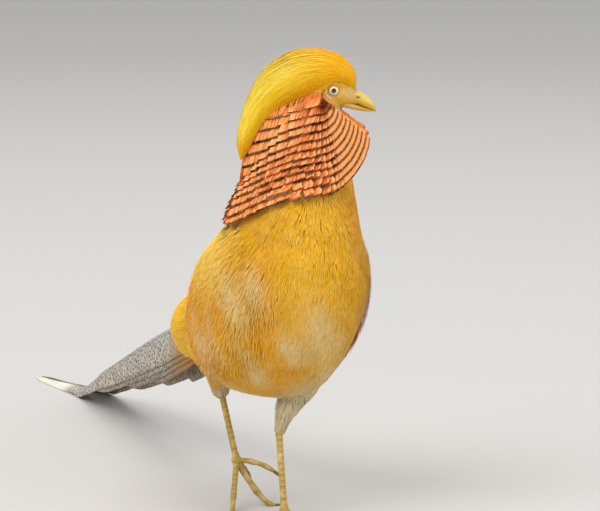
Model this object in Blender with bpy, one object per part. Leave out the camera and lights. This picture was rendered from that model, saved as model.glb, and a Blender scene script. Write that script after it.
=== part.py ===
"""Yellow golden pheasant cock, life size, standing with its head turned to its left.

Metres, +Z up, the floor at zero. The bird faces -Y and its left side is at +X. Everything is
modelled about the floor point under the body, and moved at the end so that the origin is the
middle of the whole bird's box, on the floor.
"""
import math
import random

import bmesh
import bpy
from mathutils import Matrix, Vector
from mathutils.bvhtree import BVHTree

MM = 0.001
GAP = 0.4 * MM

# The flesh from the belly to the top of the neck, as level sections: height, middle across,
# middle along, half width, half length, and how far the section turns to the bird's left.
FLESH_LEVELS = (
    (0.106, 0.000, -0.005, 0.020, 0.040, 0),
    (0.111, 0.000, -0.006, 0.034, 0.064, 0),
    (0.124, 0.000, -0.007, 0.047, 0.088, 0),
    (0.145, 0.000, -0.014, 0.056, 0.104, 0),
    (0.170, 0.000, -0.025, 0.061, 0.112, 0),
    (0.195, 0.000, -0.038, 0.063, 0.110, 0),
    (0.220, 0.000, -0.051, 0.062, 0.100, 0),
    (0.245, 0.000, -0.064, 0.058, 0.084, 0),
    (0.265, 0.000, -0.071, 0.053, 0.071, 0),
    (0.282, 0.001, -0.075, 0.048, 0.060, 6),
    (0.300, 0.003, -0.078, 0.041, 0.050, 18),
    (0.320, 0.008, -0.080, 0.033, 0.040, 36),
    (0.340, 0.013, -0.083, 0.026, 0.031, 52),
    (0.356, 0.017, -0.085, 0.021, 0.026, 62),
    (0.376, 0.019, -0.086, 0.016, 0.020, 64),
)
FLESH_SIDES = 26
FLESH_RINGS = 16
FULLNESS = 2.15
NECK_FROM = 0.282
RUMP_FROM = 0.055

# The head's own frame: forward along the bill's side, up, and out to the bird's right.
HEAD_TURN = math.radians(64.0)
EYE_POINT = Vector((0.029, -0.090, 0.3826))
HEAD_FORWARD = Vector((math.sin(HEAD_TURN), -math.cos(HEAD_TURN), 0.0))
HEAD_UP = Vector((0.0, 0.0, 1.0))
HEAD_RIGHT = HEAD_FORWARD.cross(HEAD_UP)

# Skull sections from the back of the head to the bill: forward, up, half height, half width.
SKULL = (
    (-35, 2, 4.0, 4.0),
    (-32, 3, 8.5, 8.0),
    (-24, 4, 14.5, 12.0),
    (-14, 4, 17.5, 13.8),
    (-4, 3, 17.5, 13.4),
    (6, 1, 15.5, 11.6),
    (13, -2, 12.0, 9.2),
    (18, -5, 8.5, 7.0),
    (21, -7, 5.5, 5.0),
)
EYE_OUT = 13.6 * MM
EYE_RADIUS = 5.6 * MM

# The crest's outer and inner edge from the side, from the forehead back to its hanging tip.
CREST_OUTER = ((20, 3), (19, 16), (8, 29), (-13, 36), (-39, 33), (-63, 16), (-76, -8), (-83, -31),
               (-85, -48), (-82, -62))
CREST_INNER = ((16, -3), (11, 5), (1, 9), (-10, 2), (-23, -8), (-40, -13), (-55, -23), (-67, -39),
               (-74, -53), (-81, -62))
CREST_HALF_WIDTH = (6, 12, 16.5, 18, 17, 15, 13, 10.5, 7, 2)
# Each row of locks: where its roots and tips lie along the crest, in steps, degrees to each side, locks.
CREST_STEP = 0.14
CREST_ROWS = ((0, 3, 80, 6), (1, 4, 86, 6), (2, 5, 104, 6), (3, 6, 132, 5), (4, 7, 150, 4))
# How far out a lock lies at its tip, one step before it and two steps before it.
CREST_OUT = (1.05, 1.06, 0.93)
LOCK_TAPER = (0.95, 1.00, 0.90, 0.14)

# The cape is a fan about a point on the cheek. Angles are measured from the bill's side.
CAPE_FOCUS = (-10, -6)
CAPE_NAPE = -142.0
# How far the nape's edge swings up under the crest where it is nearer to the head than the hem.
CAPE_NAPE_RISE = 42.0
CAPE_CORNER = -123.0
CAPE_THROAT = -40.0
# Each tier of the cape: where its roots and tips lie from cheek to hem, in steps, and vanes to a side.
CAPE_STEP = 0.16
CAPE_TIERS = ((3, 6, 6), (2, 5, 6), (1, 4, 5), (0, 3, 4), (0, 2, 3))
CAPE_TAPER = (0.70, 0.90, 1.00, 0.88)
# A vane's root lies this many millimetres under the cape's outer form.
CAPE_SUNK = -9.5

# The tail's middle line: along, across, height, half width and depth of its vaulted roof.
TAIL_LINE = (
    (0.062, 0.000, 0.150, 10, 12),
    (0.100, 0.003, 0.146, 16, 22),
    (0.150, 0.012, 0.134, 20, 32),
    (0.220, 0.024, 0.116, 22, 38),
    (0.300, 0.038, 0.095, 22, 38),
    (0.380, 0.052, 0.073, 22, 34),
    (0.450, 0.064, 0.053, 22, 29),
    (0.520, 0.076, 0.034, 22, 23),
    (0.580, 0.086, 0.0155, 21, 15.5),
    (0.630, 0.091, 0.0020, 20, 11),
    (0.690, 0.089, -0.0004, 17, 8),
    (0.735, 0.086, -0.0006, 13, 6),
    (0.761, 0.084, -0.0006, 6, 4),
)
TAIL_SIDE_ENDS = (0.560, 0.420, 0.295)
# A tail feather's middle surface stays this far over the floor, so that its thin body rests there.
TAIL_REST = 0.3 * MM

# The folded wing from its bend to its tip: along and height of its upper and lower edge.
WING_UPPER_EDGE = ((-0.092, 0.222), (-0.080, 0.240), (-0.045, 0.243), (-0.005, 0.230), (0.030, 0.210),
                   (0.058, 0.190), (0.080, 0.168))
WING_LOWER_EDGE = ((-0.094, 0.214), (-0.088, 0.186), (-0.055, 0.166), (-0.015, 0.153), (0.025, 0.145),
                   (0.058, 0.143), (0.080, 0.156))
# Each tier: vanes, where roots and tips lie along the wing, from how high to how low, lift, half width.
WING_STEP = 0.14
WING_TAPER = (0.65, 1.00, 0.95, 0.30)
WING_TIERS = (
    (4, 4, 7, 0.50, 0.92, 3.2, 0.075),
    (4, 3, 6, 0.12, 0.80, 4.9, 0.115),
    (4, 1, 4, 0.12, 0.88, 6.6, 0.135),
    (3, 0, 2, 0.18, 0.82, 8.3, 0.165),
)

# Each tier over the tail's base: roots, tips, vanes, degrees to each side, lift, half width.
RUMP_RADIUS = 32
RUMP_STEPS = 3
RUMP_TAPER = (0.70, 1.00, 0.90, 0.25)
RUMP_TIERS = (
    (0.080, 0.196, 7, 112, 0.0, 0.25),
    (0.072, 0.168, 7, 126, 2.4, 0.31),
    (0.064, 0.140, 7, 134, 4.8, 0.34),
)

LEFT_ANKLE = Vector((-0.0107, -0.0615, 0.0745))
LEFT_FOOT = Vector((-0.0149, -0.0806, 0.0085))
RIGHT_ANKLE = Vector((-0.0280, 0.0250, 0.1020))
RIGHT_FOOT = Vector((-0.0280, -0.0086, 0.0432))
LEFT_THIGH = ((0.030, -0.038, 0.160, 26), (0.0156, -0.0521, 0.1217, 18), (0.0041, -0.0577, 0.1061, 12.5),
              (-0.0050, -0.0600, 0.0905, 8.5), (-0.0107, -0.0615, 0.0750, 5.4))
RIGHT_THIGH = ((-0.034, 0.012, 0.160, 24), (-0.031, 0.020, 0.125, 14), (-0.029, 0.0235, 0.108, 8.5),
               (-0.028, 0.0245, 0.099, 5.4))
# Each toe: its tip, the point that it bends towards, and its radius at the root.
LEFT_TOES = (
    ((-0.0155, -0.1260, 0.0013), (-0.0152, -0.1000, 0.0004), 3.2),
    ((-0.0400, -0.1120, 0.0013), (-0.0280, -0.0980, 0.0004), 2.9),
    ((0.0130, -0.1130, 0.0013), (0.0000, -0.0990, 0.0004), 2.9),
    ((-0.0125, -0.0600, 0.0012), (-0.0140, -0.0680, 0.0004), 2.4),
)
RIGHT_TOES = (
    ((0.0065, -0.0177, 0.0007), (-0.0040, -0.0155, -0.0014), 3.1),
    ((-0.0425, -0.0310, 0.0007), (-0.0400, -0.0240, -0.0014), 2.8),
    ((0.0026, -0.0236, 0.0330), (-0.0110, -0.0170, 0.0440), 2.8),
    ((-0.0130, 0.0010, 0.0300), (-0.0200, -0.0020, 0.0390), 2.2),
)
HUB = 4.6 * MM

COLOURS = {
    "yellow_feather": (0.86, 0.47, 0.03, 0.7),
    "crest_feather": (0.95, 0.60, 0.05, 0.6),
    "cape_feather": (0.85, 0.27, 0.06, 0.7),
    "wing_feather": (0.36, 0.22, 0.10, 0.7),
    "tail_feather": (0.36, 0.32, 0.27, 0.75),
    "thigh_feather": (0.62, 0.47, 0.26, 0.75),
    "leg_scale": (0.52, 0.38, 0.12, 0.5),
    "bill_horn": (0.62, 0.42, 0.06, 0.35),
    "claw_horn": (0.20, 0.15, 0.09, 0.35),
    "iris": (0.85, 0.72, 0.45, 0.1),
}


def material(name):
    found = bpy.data.materials.get(name)
    if found:
        return found
    red, green, blue, roughness = COLOURS[name]
    made = bpy.data.materials.new(name)
    made.use_nodes = True
    shader = made.node_tree.nodes["Principled BSDF"]
    shader.inputs["Base Color"].default_value = (red, green, blue, 1.0)
    shader.inputs["Roughness"].default_value = roughness
    shader.inputs["Metallic"].default_value = 0.0
    return made


def mesh_object(name, points, faces, colour=None):
    mesh = bpy.data.meshes.new(name)
    mesh.from_pydata([tuple(point) for point in points], [], faces)
    mesh.update()
    made = bpy.data.objects.new(name, mesh)
    if colour:
        mesh.materials.append(material(colour))
        bpy.context.scene.collection.objects.link(made)
    return made


def sample(rows, at):
    """One row of numbers read between the rows, smoothly, by a place from 0 to 1."""
    place = min(max(at, 0.0), 1.0) * (len(rows) - 1)
    index = min(int(place), len(rows) - 2)
    part = place - index
    before = rows[max(index - 1, 0)]
    start = rows[index]
    end = rows[index + 1]
    after = rows[min(index + 2, len(rows) - 1)]
    values = []
    for a, b, c, d in zip(before, start, end, after):
        lean_b = (c - a) / 2
        lean_c = (d - b) / 2
        cube = part ** 3
        square = part ** 2
        values.append((2 * cube - 3 * square + 1) * b + (cube - 2 * square + part) * lean_b
                      + (3 * square - 2 * cube) * c + (cube - square) * lean_c)
    return values


def loft(rings, start_point=None, end_point=None):
    """Points and faces of a closed skin over rings that have the same number of points."""
    sides = len(rings[0])
    points = [point for ring in rings for point in ring]
    faces = []
    for row in range(len(rings) - 1):
        for side in range(sides):
            here = row * sides + side
            beside = row * sides + (side + 1) % sides
            faces.append((here, beside, beside + sides))
            faces.append((here, beside + sides, here + sides))
    last = (len(rings) - 1) * sides
    for ring_start, cap_point, forward in ((0, start_point, False), (last, end_point, True)):
        if cap_point is None:
            cap_point = sum((Vector(p) for p in points[ring_start:ring_start + sides]), Vector()) / sides
        points.append(cap_point)
        middle = len(points) - 1
        for side in range(sides):
            here = ring_start + side
            beside = ring_start + (side + 1) % sides
            faces.append((here, beside, middle) if forward else (beside, here, middle))
    return points, faces


def face_outward(obj):
    work = bmesh.new()
    work.from_mesh(obj.data)
    bmesh.ops.recalc_face_normals(work, faces=work.faces)
    if work.calc_volume(signed=True) < 0:
        bmesh.ops.reverse_faces(work, faces=work.faces)
    work.to_mesh(obj.data)
    work.free()
    return obj


def oval_ring(middle, across, along, half_across, half_along, sides, fullness=2.0, turn=0.0):
    ring = []
    for side in range(sides):
        angle = turn + 2 * math.pi * side / sides
        x = math.copysign(abs(math.cos(angle)) ** (2 / fullness), math.cos(angle))
        y = math.copysign(abs(math.sin(angle)) ** (2 / fullness), math.sin(angle))
        ring.append(middle + across * (half_across * x) + along * (half_along * y))
    return ring


def tube(line, radii, sides, flat=1.0, floor=None):
    """A closed body along a line of points, with a radius at each, optionally flat on the floor."""
    rings = []
    for index, point in enumerate(line):
        before = line[max(index - 1, 0)]
        after = line[min(index + 1, len(line) - 1)]
        forward = (after - before).normalized()
        across = forward.cross(Vector((0, 0, 1)))
        if across.length < 0.2:
            across = forward.cross(Vector((0, 1, 0)))
        across.normalize()
        up = across.cross(forward).normalized()
        ring = oval_ring(point, across, up, radii[index], radii[index] * flat, sides)
        if floor is not None:
            ring = [Vector((p.x, p.y, max(p.z, floor))) for p in ring]
        rings.append(ring)
    return loft(rings)


def vane(rows, thickness, floor=None):
    """A thin closed feather or lock over rows of points from edge to edge, optionally flat on the floor."""
    rings = []
    for index, row in enumerate(rows):
        before = rows[max(index - 1, 0)]
        after = rows[min(index + 1, len(rows) - 1)]
        forward = sum(after, Vector()) / len(after) - sum(before, Vector()) / len(before)
        up = forward.cross(row[-1] - row[0]).normalized() * (thickness / 2)
        ring = [point - up for point in row] + [point + up for point in row]
        if floor is not None:
            ring = [Vector((p.x, p.y, max(p.z, floor))) for p in ring]
        rings.append(ring)
    points = [point for ring in rings for point in ring]
    across = len(rows[0])
    ring_size = 2 * across
    faces = []
    for start in range(0, ring_size * (len(rings) - 1), ring_size):
        # Both broad faces are split along the same lines, so that the thin body stays true.
        for low in [start + n for n in range(across - 1)] + [start + across + n for n in range(across - 1)]:
            faces += [(low, low + 1, low + 1 + ring_size), (low, low + 1 + ring_size, low + ring_size)]
        for low in (start, start + across - 1):
            high = low + across
            faces += [(low, high, high + ring_size), (low, high + ring_size, low + ring_size)]
    for start in (0, ring_size * (len(rings) - 1)):
        for low in range(start, start + across - 1):
            faces += [(low, low + 1, low + 1 + across), (low, low + 1 + across, low + across)]
    return face_outward(mesh_object("vane", points, faces))


def evaluated(obj):
    graph = bpy.context.evaluated_depsgraph_get()
    graph.update()
    return bpy.data.meshes.new_from_object(obj.evaluated_get(graph))


def apply_modifiers(obj):
    made = evaluated(obj)
    old = obj.data
    obj.modifiers.clear()
    obj.data = made
    bpy.data.meshes.remove(old)


def keep_largest(obj):
    """Keeps the largest closed surface, which drops loose scraps and fills sealed hollows."""
    work = bmesh.new()
    work.from_mesh(obj.data)
    bmesh.ops.triangulate(work, faces=work.faces)
    work.faces.ensure_lookup_table()
    seen = set()
    shells = []
    for first in work.faces:
        if first.index in seen:
            continue
        seen.add(first.index)
        shell = [first]
        for face in shell:
            for edge in face.edges:
                for other in edge.link_faces:
                    if other.index not in seen:
                        seen.add(other.index)
                        shell.append(other)
        volume = sum(f.verts[0].co.dot(f.verts[1].co.cross(f.verts[2].co)) for f in shell) / 6
        shells.append((abs(volume), shell))
    shells.sort(key=lambda pair: -pair[0])
    for _, shell in shells[1:]:
        bmesh.ops.delete(work, geom=shell, context="FACES")
    loose = [v for v in work.verts if not v.link_faces]
    bmesh.ops.delete(work, geom=loose, context="VERTS")
    work.to_mesh(obj.data)
    work.free()


def merge_level_faces(obj, level=math.radians(0.3)):
    """Merges the slivers that the unions leave on flat faces, and splits those into few triangles."""
    work = bmesh.new()
    work.from_mesh(obj.data)
    bmesh.ops.dissolve_limit(work, angle_limit=level, verts=work.verts, edges=work.edges)
    bmesh.ops.triangulate(work, faces=work.faces)
    if all(len(edge.link_faces) == 2 for edge in work.edges):
        work.to_mesh(obj.data)
    work.free()


def join(base, pieces):
    """Fuses closed pieces into the base by one Boolean union on their collection."""
    group = bpy.data.collections.new("pieces")
    bpy.context.scene.collection.children.link(group)
    for piece in pieces:
        group.objects.link(piece)
    union = base.modifiers.new("join", "BOOLEAN")
    union.operation = "UNION"
    union.operand_type = "COLLECTION"
    union.collection = group
    union.solver = "MANIFOLD"
    apply_modifiers(base)
    for piece in pieces:
        bpy.data.objects.remove(piece)
    bpy.data.collections.remove(group)
    keep_largest(base)


def cut(base, cutters):
    for cutter in cutters:
        bpy.context.scene.collection.objects.link(cutter)
        away = base.modifiers.new("cut", "BOOLEAN")
        away.operation = "DIFFERENCE"
        away.object = cutter
        away.solver = "MANIFOLD"
        apply_modifiers(base)
        bpy.data.objects.remove(cutter)
    keep_largest(base)


def slice_away(obj, place, normal):
    """Removes what lies past a plane and closes the cut with one flat face."""
    work = bmesh.new()
    work.from_mesh(obj.data)
    geometry = work.verts[:] + work.edges[:] + work.faces[:]
    result = bmesh.ops.bisect_plane(work, geom=geometry, plane_co=place, plane_no=normal, clear_outer=True,
                                    dist=1e-7)
    rim = [item for item in result["geom_cut"] if isinstance(item, bmesh.types.BMEdge)]
    bmesh.ops.contextual_create(work, geom=rim)
    bmesh.ops.triangulate(work, faces=[f for f in work.faces if len(f.verts) > 3])
    bmesh.ops.recalc_face_normals(work, faces=work.faces)
    work.to_mesh(obj.data)
    work.free()


def smooth_shading(obj):
    obj.data.shade_smooth()
    obj.data.set_sharp_from_angle(angle=math.radians(40))


# The flesh

def flesh_row(height):
    """The level section at a height, read smoothly between the named sections."""
    heights = [row[0] for row in FLESH_LEVELS]
    index = max(i for i, level in enumerate(heights) if level <= height + 1e-9)
    index = min(index, len(heights) - 2)
    part = (height - heights[index]) / (heights[index + 1] - heights[index])
    return sample(FLESH_LEVELS, (index + part) / (len(heights) - 1))


def flesh_mesh(name, grow=0.0, colour=None):
    rings = []
    low = FLESH_LEVELS[0][0]
    high = FLESH_LEVELS[-1][0]
    for step in range(FLESH_RINGS + 1):
        rise = step / FLESH_RINGS
        height = low + (high - low) * (0.55 * rise + 0.45 * rise ** 2) if step else low
        _, across, along, half_width, half_length, turn = flesh_row(height)
        turned = Matrix.Rotation(math.radians(turn), 3, "Z")
        middle = Vector((across, along, height))
        if step == 0:
            middle.z -= grow
        rings.append(oval_ring(middle, turned @ Vector((1, 0, 0)), turned @ Vector((0, 1, 0)),
                               half_width + grow, half_length + grow, FLESH_SIDES, FULLNESS))
    points, faces = loft(rings)
    return face_outward(mesh_object(name, points, faces, colour))


def side_of_body(along, height, grow=0.0):
    """How far the flesh reaches sideways at a place on the flank."""
    _, _, middle, half_width, half_length, _ = flesh_row(height)
    reach = min(abs((along - middle) / half_length), 0.999)
    return half_width * (1 - reach ** FULLNESS) ** (1 / FULLNESS) + grow


def tree_of(obj):
    work = bmesh.new()
    work.from_mesh(obj.data)
    tree = BVHTree.FromBMesh(work)
    work.free()
    return tree


def lay_clear(point, tree, clearance):
    """Moves a point out of the flesh until it is clear of it."""
    nearest, normal, _, _ = tree.find_nearest(point)
    height = (point - nearest).dot(normal)
    if height < clearance:
        return nearest + normal * clearance
    return point


# The head

def in_head(forward, up, right=0.0):
    return (EYE_POINT + HEAD_FORWARD * (forward * MM) + HEAD_UP * (up * MM)
            + HEAD_RIGHT * (right * MM))


def skull_mesh(name, grow=0.0, colour=None):
    rings = []
    count = 13
    for step in range(count + 1):
        forward, up, half_up, half_across = sample(SKULL, step / count)
        rings.append(oval_ring(in_head(forward, up), HEAD_RIGHT, HEAD_UP, half_across * MM + grow,
                               half_up * MM + grow, 18, 2.2))
    front = in_head(SKULL[-1][0] + 1.5 + grow / MM, SKULL[-1][1])
    back = in_head(SKULL[0][0] - 1.5 - grow / MM, SKULL[0][1])
    points, faces = loft(rings, back, front)
    return face_outward(mesh_object(name, points, faces, colour))


def crest_section(place):
    """Middle, direction across the crest, half thickness and half width at a place along it."""
    outer = Vector(sample(CREST_OUTER, place))
    inner = Vector(sample(CREST_INNER, place))
    middle = (outer + inner) / 2
    across = outer - inner
    half = across.length / 2
    across.normalize()
    half_width = sample([(value,) for value in CREST_HALF_WIDTH], place)[0]
    return middle, across, half, half_width


def crest_point(place, angle, out=1.0):
    middle, across, half, half_width = crest_section(place)
    level = middle + across * (half * out * math.cos(angle))
    return in_head(level.x, level.y, half_width * out * math.sin(angle))


def crest_tube(name, start, end, out, sides=14, steps=9):
    rings = []
    for step in range(steps + 1):
        place = start + (end - start) * step / steps
        rings.append([crest_point(place, 2 * math.pi * side / sides, out) for side in range(sides)])
    points, faces = loft(rings)
    return face_outward(mesh_object(name, points, faces))


def crest_locks(draw):
    """Rows of long silky locks, each row's tips lying over the roots of the rows behind it."""
    locks = []
    for row, (start, end, spread, count) in enumerate(CREST_ROWS):
        spacing = math.radians(2 * spread) / (count - 0.5)
        for number in range(count):
            share = (number + 0.5 * (row % 2)) / (count - 0.5)
            angle = math.radians(spread * (2 * share - 1) + draw.uniform(-2, 2))
            wide = draw.uniform(0.44, 0.49) * spacing
            rows = []
            for step in range(start, end + 1):
                place = min(0.01 + step * CREST_STEP, 0.985)
                if step == end and end < CREST_ROWS[-1][1]:
                    place += draw.uniform(-0.03, 0.02)
                out = 0.42 if step == start else CREST_OUT[end - step]
                half = wide * LOCK_TAPER[step - start]
                tilt = 0.03 * half
                rows.append([crest_point(place, angle - half, out - tilt),
                             crest_point(place, angle + half, out + tilt)])
            locks.append(vane(rows, 0.7 * MM))
    return locks


def ring_lid(side):
    """The lids as one raised ring round the eye, drawn a little to a point at front and back."""
    middle = in_head(0, 0, side * (EYE_OUT / MM - 0.1))
    steps = 16
    sides = 5
    rings = []
    for step in range(steps):
        angle = 2 * math.pi * step / steps
        point = math.cos(angle)
        reach_along = (5.1 + 0.9 * abs(point) ** 6) * MM
        reach_up = 4.6 * MM
        centre = middle + HEAD_FORWARD * (reach_along * point) + HEAD_UP * (reach_up * math.sin(angle))
        outward = (centre - middle).normalized()
        ring = []
        for n in range(sides):
            turn = 2 * math.pi * n / sides
            ring.append(centre + outward * (0.95 * MM * math.cos(turn))
                        + HEAD_RIGHT * (1.5 * MM * math.sin(turn)))
        rings.append(ring)
    points = [p for ring in rings for p in ring]
    faces = []
    for row in range(steps):
        for n in range(sides):
            a = row * sides + n
            b = row * sides + (n + 1) % sides
            c = (row + 1) % steps * sides + (n + 1) % sides
            d = (row + 1) % steps * sides + n
            faces.append((a, b, c))
            faces.append((a, c, d))
    return face_outward(mesh_object("lid", points, faces))


def cheek_fold(side, grow=0.0):
    """The bare skin below and behind the eye, as one low bent fold."""
    route = ((-11, -1, 13.6), (-9, -7, 13.7), (-3, -12, 13.0), (5, -15, 11.0), (12, -16, 8.5))
    line = [in_head(f, u, side * s) for f, u, s in route]
    radii = [m * MM + grow for m in (1.2, 2.4, 2.8, 2.4, 1.2)]
    return face_outward(mesh_object("fold", *tube(line, radii, 8)))


def make_head(draw):
    head = skull_mesh("head", 0.0, "crest_feather")
    pieces = [crest_tube("core", 0.05, 0.60, 0.64)]
    pieces += crest_locks(draw)
    for side in (1, -1):
        pieces.append(ring_lid(side))
        pieces.append(cheek_fold(side))
    join(head, pieces)
    cut(head, [ball("socket", in_head(0, 0, side * (EYE_OUT - EYE_RADIUS) / MM), EYE_RADIUS + GAP)
               for side in (1, -1)])
    return head


def ball(name, middle, radius, colour=None, rings=8, sides=12):
    work = bmesh.new()
    bmesh.ops.create_uvsphere(work, u_segments=sides, v_segments=rings, radius=radius)
    bmesh.ops.triangulate(work, faces=work.faces)
    bmesh.ops.translate(work, verts=work.verts, vec=middle)
    mesh = bpy.data.meshes.new(name)
    work.to_mesh(mesh)
    work.free()
    made = bpy.data.objects.new(name, mesh)
    if colour:
        mesh.materials.append(material(colour))
        bpy.context.scene.collection.objects.link(made)
    return made


def bill_half(name, rows, colour):
    rings = []
    count = 8
    for step in range(count + 1):
        forward, low, high, half_across = sample(rows, step / count)
        middle = in_head(forward, (low + high) / 2)
        rings.append(oval_ring(middle, HEAD_RIGHT, HEAD_UP, half_across * MM, (high - low) / 2 * MM, 10, 2.3))
    points, faces = loft(rings)
    return face_outward(mesh_object(name, points, faces, colour))


def make_bill():
    # Forward, lower edge, upper edge and half width. The two halves part along the mouth's line.
    upper_rows = ((10, -10.6, 1.5, 6.0), (15, -11.9, 3.0, 6.4), (20, -13.2, 1.9, 5.6), (26, -14.7, -1.4, 4.6),
                  (32, -16.3, -6.4, 3.3), (36.5, -18.2, -11.6, 2.1), (38.6, -19.6, -16.0, 1.0),
                  (39.2, -20.2, -18.6, 0.4))
    lower_rows = ((8, -16.5, -10.6, 5.6), (13, -17.6, -11.9, 5.4), (20, -19.2, -13.7, 4.6),
                  (27, -20.2, -15.5, 3.5), (32, -20.2, -17.1, 2.3), (34.8, -19.9, -18.4, 0.8))
    upper = bill_half("bill_upper", upper_rows, "bill_horn")
    lower = bill_half("bill_lower", lower_rows, "bill_horn")
    nostrils = []
    for side in (1, -1):
        slit_line = ((21.5, -5.0, 5.6), (23.5, -5.8, 5.3), (25.5, -6.6, 4.9))
        line = [in_head(f, u, side * s) for f, u, s in slit_line]
        slit = tube(line, [0.5 * MM, 0.85 * MM, 0.5 * MM], 8)
        nostrils.append(face_outward(mesh_object("slit", *slit)))
    cut(upper, nostrils + [skull_mesh("clear", 2 * GAP)])
    mouth = face_outward(mesh_object("mouth", *loft([
        [in_head(f, u + t, s) for s, t in ((9, 0), (-9, 0), (-9, 3), (9, 3))]
        for f, u in ((4, -9.6), (15, -12.3), (26, -15.15), (33, -17.3), (42, -22.0))])))
    cut(lower, [mouth, skull_mesh("clear", 2 * GAP)])
    roof = face_outward(mesh_object("roof", *loft([
        [in_head(f, u - t, s) for s, t in ((9, 0), (9, 5), (-9, 5), (-9, 0))]
        for f, u in ((4, -9.2), (15, -11.9), (26, -14.75), (33, -16.9))])))
    cut(upper, [roof, crest_tube("clear", 0.0, 0.3, 1.40)])
    return upper, lower


def bill_clearance():
    """A plain body round the bill and chin that the throat's feathers stay out of."""
    line = [in_head(f, u) for f, u in ((6, -9), (20, -9), (45, -16))]
    return face_outward(mesh_object("clear", *tube(line, [9.5 * MM, 11.5 * MM, 8 * MM], 12)))


# The cape

def cape_hem(angle):
    """How far the cape reaches from the cheek in a direction, longest at the rear corner."""
    if angle < CAPE_CORNER:
        return 139 - 3.0 * (CAPE_CORNER - angle)
    share = (CAPE_THROAT - angle) / (CAPE_THROAT - CAPE_CORNER)
    return 54 + 52 * share + 33 * math.exp(-(1 - share) / 0.12)


def cape_point(side, share, reach, tree, lift=0.0, least=1.0 * MM):
    """A point of the cape: share runs from the nape to the throat, reach from cheek to hem."""
    angle = CAPE_NAPE + (CAPE_THROAT - CAPE_NAPE) * share
    far = cape_hem(angle) * reach
    angle -= CAPE_NAPE_RISE * (1 - share) ** 2 * min(max(1.0 - reach, 0.0), 0.57)
    out = (19 + 0.34 * far) * math.sin(math.pi * 0.68 * max(share, 0.0)) ** 0.7 if share > 0 else 0.0
    out += lift / MM
    turned = math.radians(angle)
    drift = -5.0 * far / 120
    point = in_head(CAPE_FOCUS[0] + far * math.cos(turned), CAPE_FOCUS[1] + far * math.sin(turned),
                    side * out + drift)
    if tree:
        point = lay_clear(point, tree, max(4.5 * MM + lift, least))
    return point


def cape_core(tree):
    rings = []
    for reach, inward in ((0.10, 1.0), (0.22, 1.0), (0.36, 1.0), (0.50, 0.98), (0.56, 0.80)):
        ring = []
        count = 7
        for n in range(count + 1):
            ring.append(cape_point(1, n / count, reach, None, -6 * MM))
        for n in range(count, 0, -1):
            ring.append(cape_point(-1, n / count, reach, None, -6 * MM))
        middle = sum(ring, Vector()) / len(ring)
        rings.append([middle + (p - middle) * inward for p in ring])
    points, faces = loft(rings)
    return face_outward(mesh_object("core", points, faces))


def cape_vanes(draw, tree):
    """Tiers of square-tipped feathers, each tier's tips lying over the tier below."""
    vanes = []
    for tier, (root, end, count) in enumerate(CAPE_TIERS):
        spacing = 0.93 / (count + 0.5)
        for side in (1, -1):
            for number in range(count):
                share = 0.05 + spacing * (number + 0.5 + 0.5 * (tier % 2))
                rows = []
                for step in range(root, end + 1):
                    reach = 0.04 + CAPE_STEP * step
                    if step == end:
                        reach *= draw.uniform(0.985, 1.015)
                    lift = (CAPE_SUNK if step == root else 1.8 - 2.5 * (end - step)) * MM
                    least = (-2.0 if step == root else 1.0) * MM
                    half = 0.49 * spacing * CAPE_TAPER[step - end - 1]
                    rows.append([cape_point(side, share + fold * half, reach, tree,
                                            lift + fold * 0.15 * MM, least) for fold in (-1, 1)])
                vanes.append(vane(rows, 0.7 * MM))
    return vanes


# The wings

def wing_place(along, down):
    """A place on the folded wing: along from its bend to the tip, down from its upper edge."""
    top = sample(WING_UPPER_EDGE, along)
    bottom = sample(WING_LOWER_EDGE, along)
    return [a + (b - a) * down for a, b in zip(top, bottom)]


def on_flank(side, along, height, out):
    reach = side_of_body(min(max(along, -0.12), 0.078), height, out)
    return Vector((side * reach, along, height))


def wing_core(side, inner=1.2 * MM, thick=4.0 * MM, start=0.0, end=0.80, edge=0.0):
    rings = []
    steps = 6
    for step in range(steps + 1):
        along = start + (end - start) * step / steps
        full = math.sin(math.pi * min(max(0.12 + 0.88 * step / steps, 0.05), 0.93)) ** 0.5
        inside = []
        outside = []
        for n in range(5):
            down = -edge + (1 + 2 * edge) * n / 4
            y, z = wing_place(along, down)
            crown = 0.4 + 0.6 * (1 - (n / 2 - 1) ** 2)
            inside.append(on_flank(side, y, z, inner))
            outside.append(on_flank(side, y, z, inner + thick * full * crown))
        rings.append(inside + outside[::-1])
    points, faces = loft(rings)
    return face_outward(mesh_object("core", points, faces))


def wing_vanes(side, draw):
    """Coverts in two tiers over the secondaries, with the primaries lowest and longest."""
    vanes = []
    for count, root, tip, high, low, lift, wide in WING_TIERS:
        for number in range(count):
            down = high + (low - high) * number / (count - 1)
            rows = []
            for step in range(root, tip + 1):
                along = WING_STEP * step
                if step == tip:
                    along += draw.uniform(-0.012, 0.012)
                out = 1.8 if step == root else max(lift - 1.7 * (tip - step), 2.6)
                half = wide * WING_TAPER[step - tip - 1]
                row = []
                for fold in (-1, 1):
                    y, z = wing_place(along, down + fold * half)
                    row.append(on_flank(side, y, z, (out + fold * 0.15) * MM))
                rows.append(row)
            vanes.append(vane(rows, 0.7 * MM))
    return vanes


def make_wing(name, side, draw):
    wing = wing_core(side)
    wing.name = name
    wing.data.materials.append(material("wing_feather"))
    bpy.context.scene.collection.objects.link(wing)
    join(wing, wing_vanes(side, draw))
    return wing


# The tail

def tail_section(along):
    """Middle, half width and depth of the tail's roof at a distance along the bird."""
    places = [row[0] for row in TAIL_LINE]
    index = max([i for i, place in enumerate(places) if place <= along + 1e-9] or [0])
    index = min(index, len(places) - 2)
    part = (along - places[index]) / (places[index + 1] - places[index])
    _, across, height, half, depth = sample(TAIL_LINE, (index + part) / (len(places) - 1))
    return across, height, half * MM, depth * MM


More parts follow.
